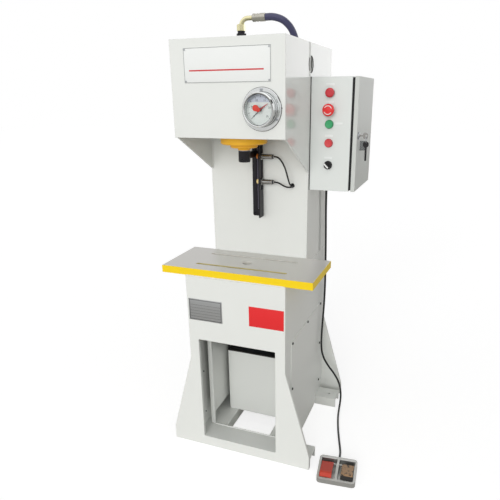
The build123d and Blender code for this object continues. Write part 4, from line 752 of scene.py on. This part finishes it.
# The door's enamel has more orange peel and mirrors less; its darker grey is painted shade on the door
door_coat_painted_shade = surface(
    "enamel light grey darkened for painted shade, orange peel", "#C6C9C5", 0.5, grain=2.2, edge=1.0, coat=0.15, blur=0.3
)
# Foam rubber: grey and open-pored
foam = surface("foam rubber", "#4A4C4C", 0.85, grain=1.0, depth=0.1, edge=0.5)
# Woven cord, black: dull, with a coarse weave
strap_weave = surface("woven cord black", "#1A1A1D", 0.8, grain=0.7, depth=0.08, edge=0.4)
dress(box_coat, "control_box")
dress(door_coat_painted_shade, "control_box_door")
dress(foam, "door_seal")
dress(zinc, "lock_barrel", "key_ring")
dress(nickel, "lock_key")
dress(black_plastic, "spare_key", "cable_gland")
dress(strap_weave, "key_strap")
# Key tag: dark plastic with grey squares of 3 mm
squares_per_metre = 330.0
tag_print = surface("chequered key tag", "#26272A", 0.5, grain=1.0, depth=0.01, edge=0.2)
tree = tag_print.node_tree
tag_place = add(tree, "TexCoord").outputs["Object"]
squares = add(tree, "TexChecker", {"Vector": tag_place, "Scale": squares_per_metre}).outputs["Fac"]
repaint(tag_print, squares, "#8F9392")
key_tag = slab((0.380, 0.0365, 1.212), (0.4045, 0.0375, 1.2465), bevel=0.0003)
settle(key_tag, "key_tag", tag_print, body="key")
box_back, neck_x = 0.309, box_high[0] - 0.012


def frame_strips(x0, x1, inset, proud):
    """Four strips around the box outline, standing proud of a wall that lies inset from it."""
    y0, y1 = box_low[1] + inset, box_back - inset
    z0, z1 = box_low[2] + inset, box_high[2] - inset
    return join(
        [
            slab((x0, y0 - proud, z0 - proud), (x1, y0, z1 + proud)),
            slab((x0, y1, z0 - proud), (x1, y1 + proud, z1 + proud)),
            slab((x0, y0, z0 - proud), (x1, y1, z0)),
            slab((x0, y0, z1), (x1, y1, z1 + proud)),
        ]
    )


# Dark strips in the rubber material are painted shade: they draw the shadow in the gap under the box and in
# the gap behind the door
box_shade_strips = frame_strips(box_low[0], box_low[0] + 0.0026, inset=0, proud=0.0008)
settle(box_shade_strips, "box_shade_strips", rubber)
neck_shade_strips = frame_strips(neck_x, neck_x + 0.0085, inset=0.008, proud=0.0035)
settle(neck_shade_strips, "neck_shade_strips", rubber)
# Rubber edging lines the cable hole above the box
hole_y, hole_z = 0.008, 1.505
edging_x0, edging_x1 = head_high[0] - 0.0008, head_high[0] + 0.0012
cable_edge = ring(edging_x0, edging_x1, hole_y, hole_z, outer=0.0285, inner=0.0262, vertices=48)
settle(cable_edge, "cable_hole_edging", rubber)

# Push buttons, lamp and selector
# Panel devices of 22 mm size: translucent lamp, twist-release stop, two caps and a black selector.
# Each bezel has the colour of its device, and a small bare legend plate sits by each.

# Moulded plastic, glossy: lamp lens, signal red, green and soft red
lamp_lens = surface("lamp lens red", "#C22833", 0.2, grain=1.0, depth=0.002, edge=0.4, coat=0.5)
stop_red = surface("moulded plastic signal red", "#DE2A2A", 0.28, grain=1.0, depth=0.003, edge=0.6, coat=0.4)
cap_green = surface("moulded plastic green", "#3BA36A", 0.32, grain=1.0, depth=0.003, edge=0.5, coat=0.3)
cap_red = surface("moulded plastic soft red", "#D04045", 0.32, grain=1.0, depth=0.003, edge=0.5, coat=0.3)
dress(lamp_lens, "pilot_lamp")
dress(stop_red, "estop_button")
dress(cap_green, "green_button")
dress(cap_red, "red_button")
dress(black_plastic, "selector_knob")
# Moulded bezels from the top: dark red, silver grey, green, red and black
bezels = surface("moulded plastic bezel", "#6E1720", 0.35, grain=1.0, depth=0.003, edge=0.3, coat=0.3)
for low, high, code in (
    (1.33, 1.375, "#B9BCBE"),
    (1.28, 1.33, "#2E8A59"),
    (1.2, 1.26, "#B5363B"),
    (1.1, 1.2, "#1B1B1D"),
):
    repaint(bezels, band(bezels.node_tree, "Z", low, high), code)
dress(bezels, "device_bezels")
# Engraved plastic, pale grey: flat and half matt
legend_grey = surface("engraved plastic pale grey", "#E4E7E5", 0.5, grain=1.0, depth=0.002, edge=0.1)
panel_y = box_low[1]
half_x, half_z, legend_thick, legend_bevel = 0.015, 0.004, 0.0005, 0.0002
legends = [
    thin_sheet((x - half_x, x + half_x), (z - half_z, z + half_z), panel_y, legend_thick, legend_bevel)
    for x, z in ((0.2715, 1.438), (0.2715, 1.379), (0.305, 1.306), (0.2715, 1.2637), (0.2715, 1.1846))
]
settle(join(legends), "legend_plates", legend_grey)
device_x, selector_z, stop_z = 0.272, 1.158, 1.353
index_place = (device_x - 0.0024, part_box("selector_knob")[0][1] - 0.0001, selector_z)
bpy.ops.mesh.primitive_cube_add(size=1, location=index_place, rotation=(0, math.radians(-45), 0))
index = bpy.context.active_object
index.scale = (0.0052, 0.0006, 0.021)
settle(index, "selector_index", plate_white, body="selector")
stop_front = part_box("estop_button")[0][1]
arc_start, arc_end = 20, 150
arrows = []
for half_turn in (0, 180):
    arc = hoop(device_x, stop_front + 0.0013, stop_z, radius=0.0142, wire=0.0014, segments=64)
    pick(
        arc,
        "VERT",
        lambda v: not arc_start < (math.degrees(math.atan2(v.co.y, v.co.x)) - half_turn) % 360 < arc_end,
    )
    bpy.ops.mesh.delete(type="VERT")
    bpy.ops.mesh.select_all(action="SELECT")
    bpy.ops.mesh.fill_holes(sides=12)
    bpy.ops.object.mode_set(mode="OBJECT")
    arrows.append(arc)
settle(join(arrows), "stop_arrows", plate_white, body="emergency_stop")

# Oil unit in the base
# Painted tank with motor, pump and valve block on its lid, seen through the front opening; the lid's near
# black is painted shade.

# Tank enamel, pale grey: half gloss
tank_coat = surface("enamel tank grey", "#DADCD8", 0.4, grain=2.2, depth=0.03, edge=1.2)
# Tank lid: near black and dull, painted shade on the unlit lid top
lid_painted_shade = surface("tank lid near black, painted shade", "#232322", 0.6, depth=0.03)
# Motor enamel, blue-grey: half gloss on cast ribs
motor_enamel = surface("enamel motor blue-grey", "#66727A", 0.4, depth=0.04, edge=1.0)
# Phosphated steel: dark grey and matt
phosphated = surface("phosphated steel", "#54575B", 0.5, metal=0.7, grain=1.0, edge=0.6)
dress(tank_coat, "oil_tank")
dress(lid_painted_shade, "tank_lid")
dress(motor_enamel, "pump_motor")
dress(phosphated, "valve_block")

# Foot switch
# Die-cast tray with two pedals, red and black; the black one is worn down to bare brown metal.

# Die-cast aluminium: grey and slightly blotched
cast = surface("die-cast aluminium", "#B9B9B6", 0.38, metal=0.9, mottle=0.06, grain=1.6, depth=0.06, edge=1.2)
# Pedal enamel, red and black: coarse orange peel
pedal_red = surface("pedal enamel red", "#B93A28", 0.42, mottle=0.08, grain=3.0, depth=0.05, edge=1.2)
worn_black = surface(
    "pedal enamel black worn through", "#1B1817", 0.42, mottle=0.1, grain=3.0, depth=0.05, edge=1.2
)
# Bare patches of about 11 mm where the foot stands
patches_per_metre = 90.0
tree = worn_black.node_tree
sole = add(tree, "TexCoord").outputs["Object"]
patch = add(tree, "TexNoise", {"Vector": sole, "Scale": patches_per_metre, "Detail": 5.0}).outputs["Fac"]
wear = add(tree, "MapRange", {"Value": patch, "From Min": 0.36, "From Max": 0.46}).outputs["Result"]
worn_top = add(tree, "Math", {0: looks_up(tree), 1: wear}, operation="MULTIPLY").outputs["Value"]
repaint(worn_black, worn_top, "#A5825F")
dress(cast, "foot_switch_housing")
dress(pedal_red, "red_pedal")
dress(worn_black, "black_pedal")

# Foot switch cable
# Flexible rubber-sheathed cable: it leaves the gland under the control box, runs down the column side,
# passes over the back foot and lies on the floor up to the boot of the foot switch.
cord(
    "foot_switch_lead",
    [
        (213, 232, 1034),
        (213, 232, 985),
        (213, 237, 920),
        (213.5, 245, 830),
        (214.5, 252, 710),
        (215, 255, 590),
        (214, 250, 480),
        (212, 234, 385),
        (213, 220, 305),
        (220, 220, 245),
        (246, 226, 192),
        (279, 229, 152),
        (306, 226, 108),
        (318, 218, 62),
        (321, 200, 24),
        (323, 166, 4.5),
        (332, 104, 4.5),
        (350, 27, 4.5),
        (373, -53, 4.5),
        (395.16, -122.93, 4.5),
        (400.91, -158.53, 13),
        (403.21, -180.41, 13),
    ],
    diameter=9,
    replaced="foot_switch_cable",
)

# Studio
# Pale seamless floor under a white surround, lit by one wide soft key from the front. Polished metal and
# lacquer mirror a bright wall behind the press, a dimmer room towards the camera and a dark gap to the right.
bpy.ops.mesh.primitive_plane_add(size=40, location=(0, 0, -0.0002))
ground = bpy.context.active_object
ground.name = "floor"
pale = surface("seamless floor", "#E2E0DC", 0.9, mottle=0.0, grain=5.0, depth=0.0)
tree = pale.node_tree
# The camera sees a floor that glows a little, so that only the shadows set it off from the surround
seen = add(tree, "LightPath").outputs["Is Camera Ray"]
shade = add(tree, "BsdfDiffuse", {"Color": linear("#B0B0B0")}).outputs["BSDF"]
glow = add(tree, "Emission", {"Color": (1.0, 1.0, 1.0, 1.0), "Strength": 0.73}).outputs["Emission"]
lit = add(tree, "AddShader", {0: shade, 1: glow}).outputs["Shader"]
painted = tree.nodes["Principled BSDF"].outputs["BSDF"]
shown = add(tree, "MixShader", {"Fac": seen, 1: painted, 2: lit})
tree.links.new(shown.outputs["Shader"], tree.nodes["Material Output"].inputs["Surface"])
ground.data.materials.append(pale)
ground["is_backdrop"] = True
world = bpy.data.worlds.new("studio")
bpy.context.scene.world = world
world.use_nodes = True
tree = world.node_tree
surround = tree.nodes["Background"]
surround.inputs["Color"].default_value = (1.0, 1.0, 1.0, 1.0)
# In the surround, Incoming points from the wall to the press, so what lies behind the press has a negative Y
incoming = add(tree, "NewGeometry").outputs["Incoming"]
way = add(tree, "SeparateXYZ", {"Vector": incoming}).outputs
behind = add(tree, "MapRange", {"Value": way["Y"], "From Min": 0.3, "From Max": -0.35}).outputs["Result"]
front_room = add(
    tree, "MapRange", {"Value": way["Z"], "From Min": 0.05, "From Max": -0.4, "To Min": 0.8, "To Max": 1.2}
).outputs["Result"]
back_wall = add(
    tree, "MapRange", {"Value": way["X"], "From Min": 0.15, "From Max": -0.15, "To Min": 0.9, "To Max": 1.75}
).outputs["Result"]
room = add(tree, "Mix", {"Factor": behind, "A": front_room, "B": back_wall}).outputs["Result"]
dark_gap = add(tree, "Math", {0: way["X"], 1: -0.74, 2: 0.1}, operation="COMPARE").outputs["Value"]
mirrored = add(tree, "Mix", {"Factor": dark_gap, "A": room, "B": 0.05}).outputs["Result"]
# Matt surfaces get soft light, mostly from the front
soft = add(
    tree, "MapRange", {"Value": way["Y"], "From Min": -0.3, "From Max": 0.9, "To Min": 0.32, "To Max": 1.0}
).outputs["Result"]
rays = add(tree, "LightPath").outputs
lighting = add(tree, "Mix", {"Factor": rays["Is Glossy Ray"], "A": soft, "B": mirrored}).outputs["Result"]
bright = add(tree, "Mix", {"Factor": rays["Is Camera Ray"], "A": lighting, "B": 1.0})
tree.links.new(bright.outputs["Result"], surround.inputs["Strength"])
bpy.context.scene.view_settings.view_transform = "Standard"
sun = bpy.data.lights.new("key", "SUN")
sun.energy = 1.27
sun.angle = math.radians(35)
key = bpy.data.objects.new("key", sun)
bpy.context.scene.collection.objects.link(key)
key.rotation_euler = Vector((-0.03, 1, -0.24)).to_track_quat("-Z", "Y").to_euler()
key.visible_glossy = False
key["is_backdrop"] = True

# Camera
# Solved from the edges of the frame in the photograph: from the front right, level with the head's lower half
# and turned a little down.
lens = bpy.data.cameras.new("view")
lens.sensor_fit = "HORIZONTAL"
lens.sensor_width = 36
lens.lens = 35.36
lens.shift_x = -0.0402
lens.shift_y = 0.0422
camera = bpy.data.objects.new("view", lens)
bpy.context.scene.collection.objects.link(camera)
camera.location = (0.7158, -1.7947, 1.3973)
camera.rotation_euler = (math.radians(70.506), math.radians(0.444), math.radians(20.405))
bpy.context.scene.camera = camera

low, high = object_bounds()
